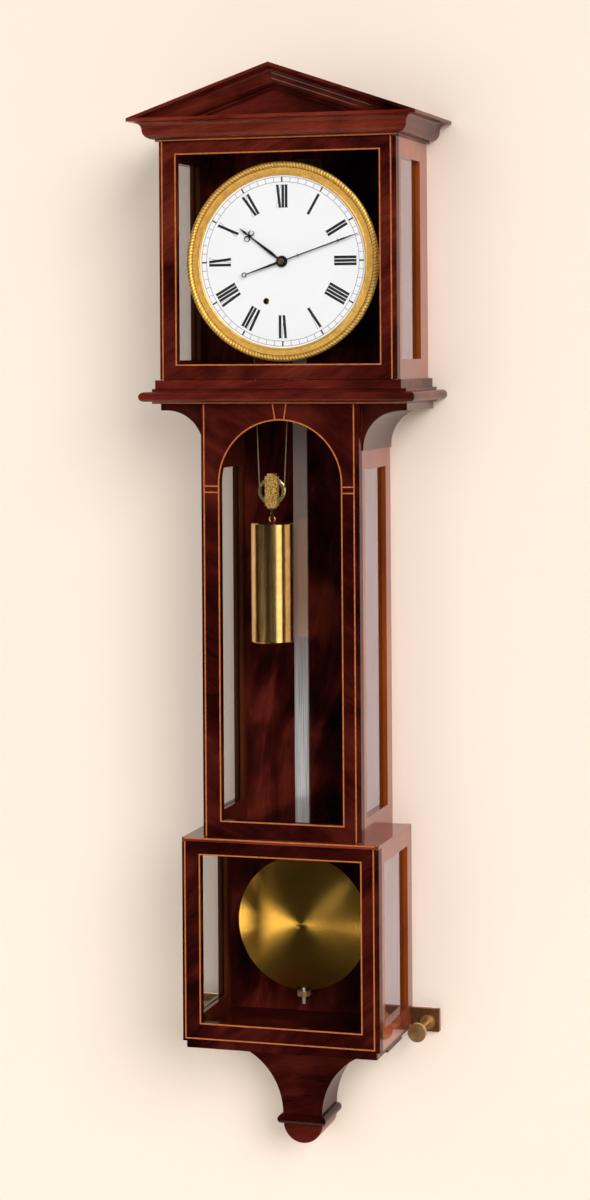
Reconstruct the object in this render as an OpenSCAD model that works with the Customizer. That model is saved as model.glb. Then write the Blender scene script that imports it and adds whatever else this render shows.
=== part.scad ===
// Wall regulator of the early Viennese lantern type: a pedimented head, a narrow
// trunk and a lower box, each glazed at the front and the sides, with a
// weight-driven movement and a long pendulum. Millimetres. X is to the right, Y runs
// back into the wall, Z is up. The origin is the hole of the hanging plate, on the
// wall plane.

/* [Head] */
// Width over the head's side frames
head_w = 280; // [240:1:340]
// Depth from the wall to the front of the head's door
head_front = 145; // [140:1:190]
// Height of the head above the dial's centre
head_up = 138.5; // [134:0.5:180]
// Depth of the head below the dial's centre
head_dn = 134.5; // [130:0.5:170]
// Height of the roof's ridge above the cornice
gable_h = 58.3; // [40:0.1:80]

/* [Trunk] */
// Width over the trunk's side frames
trunk_w = 187; // [182:1:220]
// Depth from the wall to the front of the trunk's door
trunk_front = 139; // [138:1:150]
// Height of the trunk, from the waist moulding to the box
trunk_h = 494; // [380:1:640]

/* [Box] */
// Width over the box's side frames
box_w = 232; // [220:1:290]
// Depth from the wall to the front of the box's door
box_front = 150; // [149:1:180]
// Height of the box
box_h = 232; // [225:1:300]

/* [Drop below the box] */
// Height of the drop's concave sides
drop_h = 92; // [84:1:120]
// Width of the drop at its foot
drop_w = 47; // [36:1:60]
// Depth of the drop from the wall
drop_d = 64; // [45:1:90]
// Radius of the drop's concave sides
drop_r = 79; // [60:1:82]

/* [Joinery] */
// Thickness of the side frames
side_t = 12; // [10:0.5:16]
// Thickness of the doors
door_t = 12; // [11:0.5:14]
// Thickness of the backboard
back_t = 10; // [8:0.5:14]
// Clearance above, below and behind a door
door_gap = 0.5; // [0.3:0.1:1]
// Thickness of the window glass
glass_t = 2; // [1.5:0.1:3]
// Depth to which glass sits in its groove or rebate
glass_in = 4; // [2:0.5:6]
// Width of the inlaid stringing
string_w = 1.5; // [1:0.1:3]
// Depth of the inlaid stringing
string_t = 0.8; // [0.5:0.1:1.2]
// Open hairline between two pieces of wood in one frame
hair = 0.1; // [0.06:0.02:0.2]
// Radius of a door's pivot pin
pin_r = 1.5; // [1.2:0.1:2]
// Running clearance around pins, pivots and pipes
run_gap = 0.06; // [0.02:0.01:0.1]

/* [Dial and hands] */
// Outer radius of the bezel
bezel_r = 114; // [100:0.5:116]
// Radius of the white enamel inside the bezel
enamel_r = 98.5; // [85:0.5:102]
// Depth of the dial's brass back plate from the wall
dial_y = 119; // [116:0.5:124]
// Length of the minute hand from the centre
minute_len = 95.7; // [80:0.1:97]
// Length of the hour hand from the centre
hour_len = 63; // [50:0.1:70]
// Angle of the minute hand past twelve
minute_at = 71.4; // [0:0.1:360]
// Angle of the hour hand past twelve
hour_at = 307.5; // [0:0.1:360]

/* [Pendulum] */
// Depth of the pendulum's plane from the wall
pend_y = 55; // [50:0.5:56]
// Width of the flat steel rod
rod_w = 16.5; // [12:0.5:20]
// Thickness of the flat steel rod
rod_t = 4; // [3:0.5:5]
// Radius of the bob
bob_r = 78; // [65:1:84]
// Thickness of the bob at its middle
bob_t = 20; // [14:0.5:21]

/* [Weight and line] */
// Depth of the line's plane from the wall
line_y = 92; // [91:0.5:93]
// Radius of the weight
weight_r = 24.3; // [18:0.1:25]
// Height of the weight
weight_h = 137; // [90:1:160]
// Height of the pulley's axle below the dial's centre
pulley_dn = 263; // [240:1:300]
// Place of the pulley's axle to the left of the clock's centre
pulley_x = 23.5; // [20:0.5:30]
// Radius of the pulley to the middle of the line
pulley_r = 14.8; // [12:0.1:18]
// Diameter of the gut line
line_d = 1.2; // [0.8:0.1:1.6]
// Radius of the drum to the middle of the line
drum_r = 26.5; // [20:0.5:27]
// Turns of line on the drum
drum_turns = 6; // [3:1:8]

/* [Movement] */
// Place of the winding arbor to the left of the dial's centre
wind_x = 19.5; // [16:0.5:23]
// Place of the winding arbor below the dial's centre
wind_dn = 45; // [42:0.5:50]
// Height of the escape wheel's arbor above the dial's centre
escape_up = 62; // [56:0.5:66]
// Place of the third wheel's arbor to the right of the dial's centre
third_x = 9.4; // [6:0.1:14]
// Teeth of the great wheel
great_n = 144; // [96:1:160]
// Leaves of the centre pinion
centre_leaves = 8; // [8:1:12]
// Teeth of the centre wheel and of the third wheel
wheel_n = 80; // [72:1:90]
// Leaves of the third and escape pinions
leaves = 10; // [8:1:12]
// Teeth of the escape wheel
escape_n = 30; // [24:1:36]
// Half the width of the movement's plates
plate_hw = 45; // [40:1:50]
// Thickness of the movement's plates
plate_t = 3; // [2.5:0.1:4]

/* [Wall fittings] */
// Radius of the hole in the hanging plate
hang_r = 5; // [4:0.5:6]
// Height of the hanging hole above the dial's centre
hang_up = 112; // [105:1:120]
// Height of the levelling screws above the foot of the box
level_up = 3.5; // [2:0.5:12]

/* [Node] */

/* [Hidden] */
$fn = 64;
far = 1500;

// Half widths
head_hw = head_w / 2;
trunk_hw = trunk_w / 2;
box_hw = box_w / 2;

// Levels, measured from the dial's centre
dial_z = -hang_up;
cornice_h = 25.5;
roof_foot = head_up + cornice_h;
floor_t = 10;
waist_top = -head_dn - floor_t;
waist_h = 17;
trunk_top = waist_top - waist_h;
trunk_bot = trunk_top - trunk_h;
box_top_t = 4;
box_bot = trunk_bot - box_h;
plinth_t = 7.5;
drop_top = box_bot - plinth_t;
drop_bot = drop_top - drop_h;

// Fronts of the three cases behind their doors
head_case = head_front - door_t - door_gap - 0.1;
trunk_case = trunk_front - door_t - door_gap - 0.1;
box_case = box_front - door_t - door_gap - 0.1;

// Side windows: stiles and rails of the three cases
head_stiles = [9.5, 35];
head_rails = [23, 22.5];
trunk_stiles = [11.5, 22];
trunk_rails = [75, 25];
box_stiles = [11.5, 20];
box_rails = [18.5, 23.5];

// Doors: stile, top rail and bottom rail
head_door = [20, 15, 17.5];
trunk_door = [21.5, 19, 19];
box_door = [21.5, 15, 21];
door_lip = 5;
pin_in = 3;
pin_l = 10;
pin_out = 4;
// The clear opening through the waist into the trunk
well_front = 120;
trunk_in = trunk_hw - side_t;

// Cornice: the set-back fillet, the ogee and the top fillet
cor_low = 2.5;
cor_step = 3.5;
ovolo_r = 10;
cove_r = 9.3;
cor_out = 29.5;
cor_fillet = 3.7;

// Waist moulding
waist_hw = head_hw + 5.5;
waist_front = 141.5;
fillet_out = 4.5;
torus_r = 5.5;
torus_out = 11.5;
waist_low = 2.5;
floor_out = 5;
floor_front = 149;

// Consoles under the waist
con_hw = head_hw + 6;
con_block = 8;
con_lip = 7.5;
con_step = 1.5;
con_r = con_hw - con_lip - trunk_hw - con_step;

// Trunk door arch
arch_r = trunk_hw - trunk_door[0];
arch_z = trunk_top - trunk_door[1] - arch_r;
impost_1 = arch_z - 2.2;
impost_2 = impost_1 - 7;

// Movement: depths from the wall
back_in = 67;
front_in = 103;
centre_plane = 69.8;
third_plane = 85;
escape_plane = 92;
great_plane = 99;
third_up = escape_up / 2;
train_c = sqrt(third_x * third_x + third_up * third_up);
train_m = 2 * train_c / (wheel_n + leaves);
wind_c = sqrt(wind_x * wind_x + wind_dn * wind_dn);
great_m = 2 * wind_c / (great_n + centre_leaves);
great_r = great_m * great_n / 2;
escape_r = 19;
// The anchor spans a little more than a quarter of the escape wheel
pend_up = escape_up + escape_r / cos(57);
plate_hh = pend_up + 7;
arbor_r = 1.5;
pivot_r = 0.8;
centre_r = 1.8;
drum_back = 72;
drum_front = 95.4;
drum_flange = drum_r + 2;
// Shoulders of the plates, and the places of pillars, posts and dial feet
plate_foot = 25;
plate_head = 16;
plate_low = -wind_dn - 58;
pillar_at = [[-36, 60], [36, 60], [-20, plate_low + 6], [20, plate_low + 6]];
post_at = [[-26, 74], [26, 74], [-26, -80], [26, -80]];
foot_at = [[-32, 60], [32, 60], [-32, -80], [32, -80]];

// Motion work behind the dial
cannon_n = 12;
minute_n = 36;
minute_leaf_n = 10;
hour_n = 40;
cannon_m = 0.5;
hour_m = cannon_m * (cannon_n + minute_n) / (minute_leaf_n + hour_n);
motion_c = cannon_m * (cannon_n + minute_n) / 2;
motion_at = -30;
cannon_plane = 109.5;
hour_plane = 113.5;

// Dial stack
enamel_t = 2;
enamel_y = dial_y + 1.5;
bezel_y = 127;
hour_y = 125.2;
minute_y = 127.6;
hand_t = 0.8;

// Pendulum
bob_z = trunk_bot - 110.5;
rod_top = pend_up - 12;
rod_bot = bob_z - bob_r;
nut_t = 6;
screw_l = 16;

// Weight and line: where each fall of line starts and ends
fall_top_l = -wind_dn;
fall_top_r = -wind_dn - 40;
drum_edge = -wind_x - drum_r;
stud_x = 0;
weight_z = -pulley_dn - 36.4;
line_r = line_d / 2;
coil_step = 2.2;
coil_y = line_y - drum_turns * coil_step;

// Levelling screws at the foot of the box
level_x = 136;
level_z = box_bot + level_up;
level_plate_z = [box_bot - plinth_t, box_bot + 19];
level_r = 2.5;

// Shapes that repeat.
module slab(x0, x1, y0, y1, z0, z1) {
  translate([x0, y0, z0])
    cube([x1 - x0, y1 - y0, z1 - z0]);
}

// A round bar along Y, from depth d0 to depth d1 in front of the wall
module bar_y(x, z, d0, d1, r) {
  translate([x, -d0, z])
    rotate([90, 0, 0])
      cylinder(r = r, h = d1 - d0);
}

module bar_z(x, d, z0, z1, r) {
  translate([x, -d, z0])
    cylinder(r = r, h = z1 - z0);
}

// A drawing in X and Z given thickness from depth d0 to depth d1
module sheet_y(d0, d1) {
  translate([0, -d0, 0])
    rotate([90, 0, 0])
      linear_extrude(d1 - d0)
        children();
}

// A drawing in Y and Z drawn out along X
module run_x(x0, x1) {
  translate([x0, 0, 0])
    rotate([90, 0, 90])
      linear_extrude(x1 - x0)
        children();
}

module both_sides() {
  children();
  mirror([1, 0, 0])
    children();
}

module at_dial() {
  translate([0, 0, dial_z])
    children();
}

// A moulding profile carried round the front and both sides, mitred at the corners.
// The profile is drawn outwards from the face at 0 and reaches far inside it.
module mitred(hw, front) {
  intersection() {
    sheet_y(0, front + 80)
      for (side = [0, 1])
        mirror([side, 0])
          intersection() {
            translate([hw, 0])
              children();
            translate([0, -far])
              square([hw + 80, 2 * far]);
          }
    run_x(-hw - 80, hw + 80)
      intersection() {
        translate([-front, 0])
          mirror([1, 0])
            children();
        translate([-front - 80, -far])
          square([front + 80, 2 * far]);
      }
  }
}

// The plan of one length of moulding between mitres: run 0 is the front, 1 the right
module mitre_plan(run, hw, front, in_x, in_front, z0, z1) {
  out = 40;
  k = front - in_front;
  front_pts = [[-hw - out, -front - out], [hw + out, -front - out],
    [hw - k - hair, -in_front], [-hw + k + hair, -in_front]];
  side_pts = [[hw + out + hair, -front - out], [hw + out + hair, 1], [in_x, 1],
    [in_x, -in_front + hair], [hw - k + hair, -in_front + hair]];
  translate([0, 0, z0])
    linear_extrude(z1 - z0)
      polygon(run == 0 ? front_pts : side_pts);
}

// Gear teeth.
function tooth_pts(n, m, add, ded, tip, root) = [
  for (i = [0:n - 1], k = [0:3])
    let (
      r = m * n / 2 + (k == 1 || k == 2 ? add : -ded) * m,
      s = (k == 0 || k == 3 ? root : tip) * (k < 2 ? -0.5 : 0.5),
      a = 360 / n * (i + s)
    )
      [r * cos(a), r * sin(a)]
];

// A crossed-out wheel: toothed rim, arms and hub
module wheel(n, m, thick, hub, bore, arms, rim) {
  r_in = m * n / 2 - 1.1 * m - rim;
  linear_extrude(thick)
    difference() {
      union() {
        difference() {
          polygon(tooth_pts(n, m, 0.75, 1.1, 0.26, 0.5));
          circle(r_in);
        }
        circle(hub);
        for (i = [0:arms - 1])
          rotate(i * 360 / arms)
            translate([0, -1.2])
              square([r_in + 0.3 * rim, 2.4]);
      }
      circle(bore);
    }
}

module pinion(n, m, thick) {
  linear_extrude(thick)
    polygon(tooth_pts(n, m, 0.75, 1.1, 0.14, 0.42));
}

// Puts a gear drawn flat at a place in the movement, its middle at depth d, with one
// tooth turned to the angle at
module gear_at(x, z, d, thick, at) {
  translate([x, -d + thick / 2, z])
    rotate([90, 0, 0])
      rotate(at)
        children();
}

// An arbor between the plates with a pivot at each end
module arbor(x, z, r) {
  bar_y(x, z, back_in + 0.3, front_in - 0.3, r);
  bar_y(x, z, back_in - plate_t, front_in + plate_t, pivot_r);
}

// Gut line: a round tube along a list of points.
function unit3(v) = v / norm(v);
function path_dir(p, i) = unit3(
  i == 0 ? p[1] - p[0] : i == len(p) - 1 ? p[i] - p[i - 1] : p[i + 1] - p[i - 1]);
function ring_at(c, t, up, r, n) =
  let (a = unit3(cross(t, up)), b = cross(a, t))
    [for (k = [0:n - 1]) c + r * (cos(360 * k / n) * a + sin(360 * k / n) * b)];
module tube(p, r, up, n) {
  m = len(p);
  pts = [for (i = [0:m - 1]) each ring_at(p[i], path_dir(p, i), up, r, n)];
  walls = [for (i = [0:m - 2], k = [0:n - 1])
    [i * n + k, i * n + (k + 1) % n, (i + 1) * n + (k + 1) % n, (i + 1) * n + k]];
  caps = [[for (k = [n - 1:-1:0]) k], [for (k = [0:n - 1]) (m - 1) * n + k]];
  polyhedron(pts, concat(walls, caps), convexity = 8);
}

// Case: back, sides and glass.
module hang_bore() {
  bar_y(0, hang_up, -1, back_t - 2, hang_r);
}

module backboard() {
  color("#4a1d14")
    at_dial() {
      difference() {
        slab(-trunk_in, trunk_in, -back_t, 0, box_bot, head_up);
        slab(-24, 24, -3, 1, hang_up - 14, hang_up + 14);
        hang_bore();
      }
      both_sides() {
        slab(trunk_in + hair, head_hw - side_t, -back_t, 0, -head_dn, head_up);
        slab(trunk_in + hair, box_hw - side_t, -back_t, 0, box_bot, trunk_bot - 10);
      }
    }
}

module hanging_plate() {
  color("#b08d3e")
    at_dial()
      difference() {
        slab(-24, 24, -3, 0, hang_up - 14, hang_up + 14);
        hang_bore();
        for (x = [-18, 18])
          bar_y(x, hang_up, -1, 4, 2);
      }
}

// One side frame on the right: two stiles, two rails and the groove for its glass
module side_frame(hw, depth, z0, z1, stiles, rails) {
  difference() {
    union() {
      slab(hw - side_t, hw, -depth, -depth + stiles[0], z0, z1);
      slab(hw - side_t, hw, -stiles[1], 0, z0, z1);
      slab(hw - side_t, hw, -depth + stiles[0] + hair, -stiles[1] - hair,
        z1 - rails[0], z1);
      slab(hw - side_t, hw, -depth + stiles[0] + hair, -stiles[1] - hair,
        z0, z0 + rails[1]);
    }
    side_pane(hw, depth, z0, z1, stiles, rails);
  }
}

module side_pane(hw, depth, z0, z1, stiles, rails) {
  x = hw - side_t / 2 - glass_t / 2;
  slab(x, x + glass_t, -depth + stiles[0] - glass_in, -stiles[1] + glass_in,
    z0 + rails[1] - glass_in, z1 - rails[0] + glass_in);
}

module head_sides() {
  color("#4a1a12")
    at_dial()
      both_sides()
        side_frame(head_hw, head_case, -head_dn, head_up, head_stiles, head_rails);
}

module trunk_sides() {
  color("#4a1a12")
    at_dial()
      both_sides()
        side_frame(trunk_hw, trunk_case, trunk_bot, trunk_top,
          trunk_stiles, trunk_rails);
}

module box_sides() {
  color("#4a1a12")
    at_dial()
      both_sides()
        side_frame(box_hw, box_case, box_bot, trunk_bot - box_top_t,
          box_stiles, box_rails);
}

module side_glass() {
  color("#dfe8e8", 0.3)
    at_dial()
      both_sides() {
        side_pane(head_hw, head_case, -head_dn, head_up, head_stiles, head_rails);
        side_pane(trunk_hw, trunk_case, trunk_bot, trunk_top,
          trunk_stiles, trunk_rails);
        side_pane(box_hw, box_case, box_bot, trunk_bot - box_top_t,
          box_stiles, box_rails);
      }
}

// Cornice and pediment.
// The ogee, drawn outwards from the head's face and upwards from its lower fillet
module ogee() {
  oz = cor_low + ovolo_r;
  top = cornice_h - cor_fillet;
  cx = cor_step + 2 + ovolo_r;
  difference() {
    union() {
      translate([-far, 0])
        square([far + cor_step, cor_low]);
      translate([-far, cor_low])
        square([far + cor_step + 2, cornice_h - cor_low]);
      translate([cor_step + 2, oz])
        circle(ovolo_r);
      translate([0, oz])
        square([cx + cove_r, top - oz]);
      translate([0, top])
        square([cor_out, cor_fillet]);
    }
    translate([cx + cove_r, oz])
      circle(cove_r);
  }
}

module cornice() {
  hw = head_hw + cor_out;
  front = head_front + cor_out;
  in_x = head_hw - side_t;
  in_front = head_front - side_t;
  color("#571f14")
    at_dial()
      difference() {
        for (run = [0:1])
          mirrored_run(run)
            intersection() {
              mitred(head_hw, head_front)
                translate([0, head_up])
                  ogee();
              mitre_plan(run, hw, front, in_x, in_front, head_up - 1, roof_foot + 1);
            }
        door_pin_hole(head_hw, head_front, head_up);
        case_strings();
      }
}

// A side run stands on both sides, the front run only once
module mirrored_run(run) {
  children();
  if (run == 1)
    mirror([1, 0, 0])
      children();
}

gable_w = head_hw + cor_out;
gable_f = head_front + cor_out;
rake = atan(gable_h / gable_w);

module gable_shape() {
  polygon([[-gable_w, roof_foot], [gable_w, roof_foot], [0, roof_foot + gable_h]]);
}

module raking_run() {
  translate([0, 0, roof_foot + gable_h])
    rotate([0, rake, 0])
      run_x(-30, gable_w + 30)
        intersection() {
          translate([-head_front, -cornice_h])
            mirror([1, 0])
              ogee();
          translate([-gable_f, -far])
            square([gable_f - head_front + 10, far]);
        }
}

module pediment_moulding() {
  color("#4d1b13")
    at_dial()
      both_sides()
        intersection() {
          sheet_y(head_front - 10, gable_f)
            intersection() {
              gable_shape();
              translate([hair / 2, 0])
                square([far, far]);
            }
          raking_run();
        }
}

module tympanum() {
  drop_v = cornice_h / cos(rake);
  w = gable_w * (1 - drop_v / gable_h);
  color("#62241a")
    at_dial()
      sheet_y(head_front - 10, head_front - 2)
        polygon([[-w, roof_foot], [w, roof_foot], [0, roof_foot + gable_h - drop_v]]);
}

module roof() {
  t = 10;
  color("#471a12")
    at_dial() {
      both_sides()
        sheet_y(0, head_front - 10 - hair)
          polygon([[hair / 2, roof_foot + gable_h - hair / 2 * tan(rake)],
            [gable_w, roof_foot], [gable_w - t / sin(rake), roof_foot],
            [hair / 2, roof_foot + gable_h - t / cos(rake)]]);
      slab(-head_hw + side_t, head_hw - side_t, -head_front + side_t, 0,
        head_up, head_up + t);
    }
}

// Hood floor, waist moulding and consoles.
module hood_floor() {
  w = head_hw + floor_out;
  color("#5c2016")
    at_dial()
      difference() {
        union() {
          slab(-w, w, -floor_front, -well_front - hair, waist_top, -head_dn);
          both_sides()
            slab(trunk_in + hair, w, -well_front, 0, waist_top, -head_dn);
        }
        door_pin_hole(head_hw, head_front, -head_dn);
      }
}

// Upper fillet, torus and lower fillet, drawn outwards and down from 0
module waist_profile() {
  low = waist_h - waist_low;
  translate([-far, -waist_h])
    square([far + fillet_out, waist_h]);
  translate([-far, -low])
    square([far + torus_out, 2 * torus_r]);
  translate([torus_out, -low + torus_r])
    circle(torus_r);
}

module waist_moulding() {
  hw = waist_hw + torus_out;
  front = waist_front + torus_out;
  color("#5a1f15")
    at_dial()
      difference() {
        for (run = [0:1])
          mirrored_run(run)
            intersection() {
              mitred(waist_hw, waist_front)
                translate([0, waist_top])
                  waist_profile();
              mitre_plan(run, hw, front, trunk_in + hair, well_front,
                trunk_top - 1, waist_top + 1);
            }
        door_pin_hole(trunk_hw, trunk_front, trunk_top);
        case_strings();
      }
}

// The light lines let into the case: under the cornice, along the waist's lower
// fillet and along the top edge of the box
module case_strings() {
  w = waist_hw + fillet_out - 1;
  f = waist_front + fillet_out;
  c = head_front + cor_step;
  slab(-w, w, -f, -f + string_t, trunk_top + 0.3, trunk_top + 0.3 + string_w);
  slab(-head_hw - 2, head_hw + 2, -c, -c + string_t,
    head_up + 0.3, head_up + 0.3 + string_w);
  slab(-box_hw + 2.5, box_hw - 5, -box_front, -box_front + string_t,
    trunk_bot - string_w, trunk_bot);
}

module case_stringing() {
  color("#b8672c")
    at_dial()
      case_strings();
}

module consoles() {
  z = trunk_top - con_block;
  foot = z - con_r - 2;
  color("#47190f")
    at_dial()
      both_sides()
        sheet_y(0, trunk_case)
          difference() {
            union() {
              translate([trunk_hw, z])
                square([con_hw - trunk_hw, con_block]);
              translate([trunk_hw, foot])
                square([con_hw - trunk_hw - con_lip, z - foot]);
            }
            translate([con_hw - con_lip, z - con_r])
              circle(con_r);
            translate([trunk_hw + con_step, foot - 1])
              square([far, z - con_r - foot + 1]);
          }
}

// Box: top, floor and drop.
module box_top() {
  z = trunk_bot;
  f = box_front;
  low = 10;
  color("#571f14")
    at_dial()
      difference() {
        union() {
          slab(-box_hw, box_hw, -f, -well_front - hair, z - box_top_t, z);
          slab(-box_hw + side_t, box_hw - side_t, -box_case, -well_front - hair,
            z - low, z - box_top_t);
          both_sides() {
            slab(trunk_in + hair, box_hw, -well_front, 0, z - box_top_t, z);
            slab(trunk_in + hair, box_hw - side_t, -well_front, 0,
              z - low, z - box_top_t);
          }
        }
        door_pin_hole(box_hw, box_front, z - box_top_t);
        door_pin_hole(trunk_hw, trunk_front, z);
        case_strings();
      }
}

module plinth() {
  w = box_hw - 4;
  color("#4d1b13")
    at_dial()
      difference() {
        union() {
          slab(-w, w, -box_front + 2, 0, drop_top, box_bot);
          slab(-box_hw + side_t, box_hw - side_t, -box_case, -back_t,
            box_bot, box_bot + 8);
        }
        door_pin_hole(box_hw, box_front, box_bot);
      }
}

module drop() {
  hw = drop_w / 2;
  top_hw = hw + drop_r;
  z = drop_bot;
  ring = 5.5;
  color("#3f150e")
    at_dial() {
      sheet_y(0, drop_d)
        difference() {
          translate([-top_hw, z])
            square([2 * top_hw, drop_h]);
          for (s = [-1, 1])
            translate([s * top_hw, z])
              circle(drop_r);
        }
      mitred(hw, drop_d)
        translate([0, z - hair - ring]) {
          translate([-far, -ring])
            square([far, 2 * ring]);
          circle(ring);
        }
    }
}

finial_hw = 23.5;
finial_h = 22;
module finial() {
  top = drop_bot - 11.2;
  r = finial_hw;
  color("#571f14")
    at_dial()
      sheet_y(0, drop_d - 2)
        intersection() {
          translate([0, top - (finial_h - r)])
            circle(r);
          translate([-r, top - finial_h - 1])
            square([2 * r, finial_h + 1]);
        }
}

// Doors.
// The hole that a door's pivot pin turns in, across the level z
module door_pin_hole(hw, front, z) {
  bar_z(hw - pin_in, front - pin_in, z - pin_out - 0.5, z + pin_out + 0.5,
    pin_r + run_gap);
}

// A rectangular opening, grown by e on all sides
module door_hole(hw, z0, z1, door, e) {
  translate([-hw + door[0] - e, z0 + door[2] - e])
    square([2 * (hw - door[0] + e), z1 - z0 - door[1] - door[2] + 2 * e]);
}

// The trunk's round-arched opening, grown by e
module arch_hole(e) {
  translate([-arch_r - e, trunk_bot + trunk_door[2] - e])
    square([2 * (arch_r + e), arch_z - trunk_bot - trunk_door[2] + e]);
  translate([0, arch_z])
    circle(arch_r + e);
}

// Stiles and rails as one drawing, parted by hairlines at the stiles
module door_parts(hw, z0, z1, door) {
  stile = door[0];
  for (s = [-1, 1])
    translate([s > 0 ? hw - stile : -hw, z0])
      square([stile, z1 - z0]);
  translate([-hw + stile + hair, z0])
    square([2 * (hw - stile - hair), z1 - z0]);
}

// Frame with its rebate behind and, as four loose strips, the bead that holds the
// glass: its upper joints are at the height cut. Child 0 is the opening, child 1 the
// opening grown by the rebate, child 2 the bead's outline, child 3 the inlay's place.
module door_body(hw, front, z0, z1, door, cut) {
  back = front - door_t;
  glass_y = front - door_lip;
  difference() {
    sheet_y(back, front)
      difference() {
        door_parts(hw, z0, z1, door);
        children(0);
      }
    sheet_y(back - 1, glass_y)
      children(1);
    children(3);
    door_pin_hole_tight(hw, front, z0);
    door_pin_hole_tight(hw, front, z1);
  }
  sheet_y(back + 0.5, glass_y - glass_t)
    difference() {
      children(2);
      children(0);
      for (z = [z0 + door[2], cut])
        translate([-hw, z])
          square([2 * hw, hair]);
    }
}

module door_pin_hole_tight(hw, front, z) {
  bar_z(hw - pin_in, front - pin_in, z - pin_l, z + pin_l, pin_r);
}

module door_pins(hw, front, z0, z1) {
  x = hw - pin_in;
  d = front - pin_in;
  color("#b9913f")
    at_dial() {
      bar_z(x, d, z0 - door_gap - pin_out, z0 + pin_l, pin_r);
      bar_z(x, d, z0 - door_gap + 0.05, z0, 2.6);
      bar_z(x, d, z1 - pin_l, z1 + door_gap + pin_out, pin_r);
    }
}

// Upright lines near both edges of a door
module upright_strings(hw, z0, z1) {
  for (x = [-hw + 2.6, hw - 5.6 - string_w])
    translate([x, z0])
      square([string_w, z1 - z0]);
}

head_z0 = -head_dn + door_gap;
head_z1 = head_up - door_gap;
module head_strings() {
  sheet_y(head_front - string_t, head_front) {
    difference() {
      door_hole(head_hw, head_z0, head_z1, head_door, string_w);
      door_hole(head_hw, head_z0, head_z1, head_door, 0);
    }
    upright_strings(head_hw, head_z0, head_z1);
  }
}

module head_door_frame() {
  color("#4f1b12")
    at_dial()
      door_body(head_hw, head_front, head_z0, head_z1, head_door, head_z1 - head_door[1]) {
        door_hole(head_hw, head_z0, head_z1, head_door, 0);
        door_hole(head_hw, head_z0, head_z1, head_door, glass_in);
        door_hole(head_hw, head_z0, head_z1, head_door, glass_in - hair);
        head_strings();
      }
}

module head_door_stringing() {
  color("#b8672c")
    at_dial()
      head_strings();
}

module head_door_glass() {
  y = head_front - door_lip;
  color("#dfe8e8", 0.2)
    at_dial()
      sheet_y(y - glass_t, y)
        door_hole(head_hw, head_z0, head_z1, head_door, glass_in);
}

module head_door_pins() {
  door_pins(head_hw, head_front, head_z0, head_z1);
}

trunk_z0 = trunk_bot + door_gap;
trunk_z1 = trunk_top - door_gap;
module trunk_strings() {
  edge = trunk_hw - 5.6 - string_w;
  sheet_y(trunk_front - string_t, trunk_front) {
    difference() {
      arch_hole(string_w);
      arch_hole(0);
    }
    upright_strings(trunk_hw, trunk_z0, trunk_z1);
    difference() {
      for (z = [impost_1, impost_2])
        translate([-trunk_hw + 2.6, z - string_w])
          square([edge + string_w + trunk_hw - 2.6, string_w]);
      arch_hole(string_w / 2);
    }
    for (s = [-1, 1])
      keystone_line(s);
  }
}

// One of the two lines that part the keystone above the arch
module keystone_line(s) {
  top = trunk_z1;
  bot = arch_z + arch_r + string_w / 2;
  w = string_w / 2;
  polygon([[s * 8 - w, top], [s * 5.2 - w, bot], [s * 5.2 + w, bot], [s * 8 + w, top]]);
}

module trunk_door_frame() {
  color("#4f1b12")
    at_dial()
      door_body(trunk_hw, trunk_front, trunk_z0, trunk_z1, trunk_door, arch_z) {
        arch_hole(0);
        arch_hole(glass_in);
        arch_hole(glass_in - hair);
        trunk_strings();
      }
}

module trunk_door_stringing() {
  color("#b8672c")
    at_dial()
      trunk_strings();
}

module trunk_door_glass() {
  y = trunk_front - door_lip;
  color("#dfe8e8", 0.2)
    at_dial()
      sheet_y(y - glass_t, y)
        arch_hole(glass_in);
}

module trunk_door_pins() {
  door_pins(trunk_hw, trunk_front, trunk_z0, trunk_z1);
}

box_z0 = box_bot + door_gap;
box_z1 = trunk_bot - box_top_t - door_gap;
module box_strings() {
  sheet_y(box_front - string_t, box_front) {
    difference() {
      door_hole(box_hw, box_z0, box_z1, box_door, string_w);
      door_hole(box_hw, box_z0, box_z1, box_door, 0);
    }
    upright_strings(box_hw, box_z0 + 2.4, box_z1);
    translate([-box_hw + 2.6, box_z0 + 2.4])
      square([box_w - 8.2, string_w]);
  }
}

module box_door_frame() {
  color("#4f1b12")
    at_dial()
      door_body(box_hw, box_front, box_z0, box_z1, box_door, box_z1 - box_door[1]) {
        door_hole(box_hw, box_z0, box_z1, box_door, 0);
        door_hole(box_hw, box_z0, box_z1, box_door, glass_in);
        door_hole(box_hw, box_z0, box_z1, box_door, glass_in - hair);
        box_strings();
      }
}

module box_door_stringing() {
  color("#b8672c")
    at_dial()
      box_strings();
}

module box_door_glass() {
  y = box_front - door_lip;
  color("#dfe8e8", 0.2)
    at_dial()
      sheet_y(y - glass_t, y)
        door_hole(box_hw, box_z0, box_z1, box_door, glass_in);
}

module box_door_pins() {
  door_pins(box_hw, box_front, box_z0, box_z1);
}

// Dial and hands.
// A form turned about a line along Y, drawn as radius and depth from the wall
module turned_y(x, z) {
  translate([x, 0, z])
    rotate([90, 0, 0])
      rotate_extrude()
        children();
}

module dial_back() {
  color("#a98a45")
    at_dial()
      difference() {
        union() {
          bar_y(0, 0, dial_y, enamel_y, enamel_r + 4.9);
          for (p = foot_at)
            bar_y(p[0], p[1], front_in + plate_t + hair, dial_y, 3);
        }
        bar_y(0, 0, dial_y - 1, enamel_y + 1, 4);
        bar_y(-wind_x, -wind_dn, dial_y - 1, enamel_y + 1, 3.7);
      }
}

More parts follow.
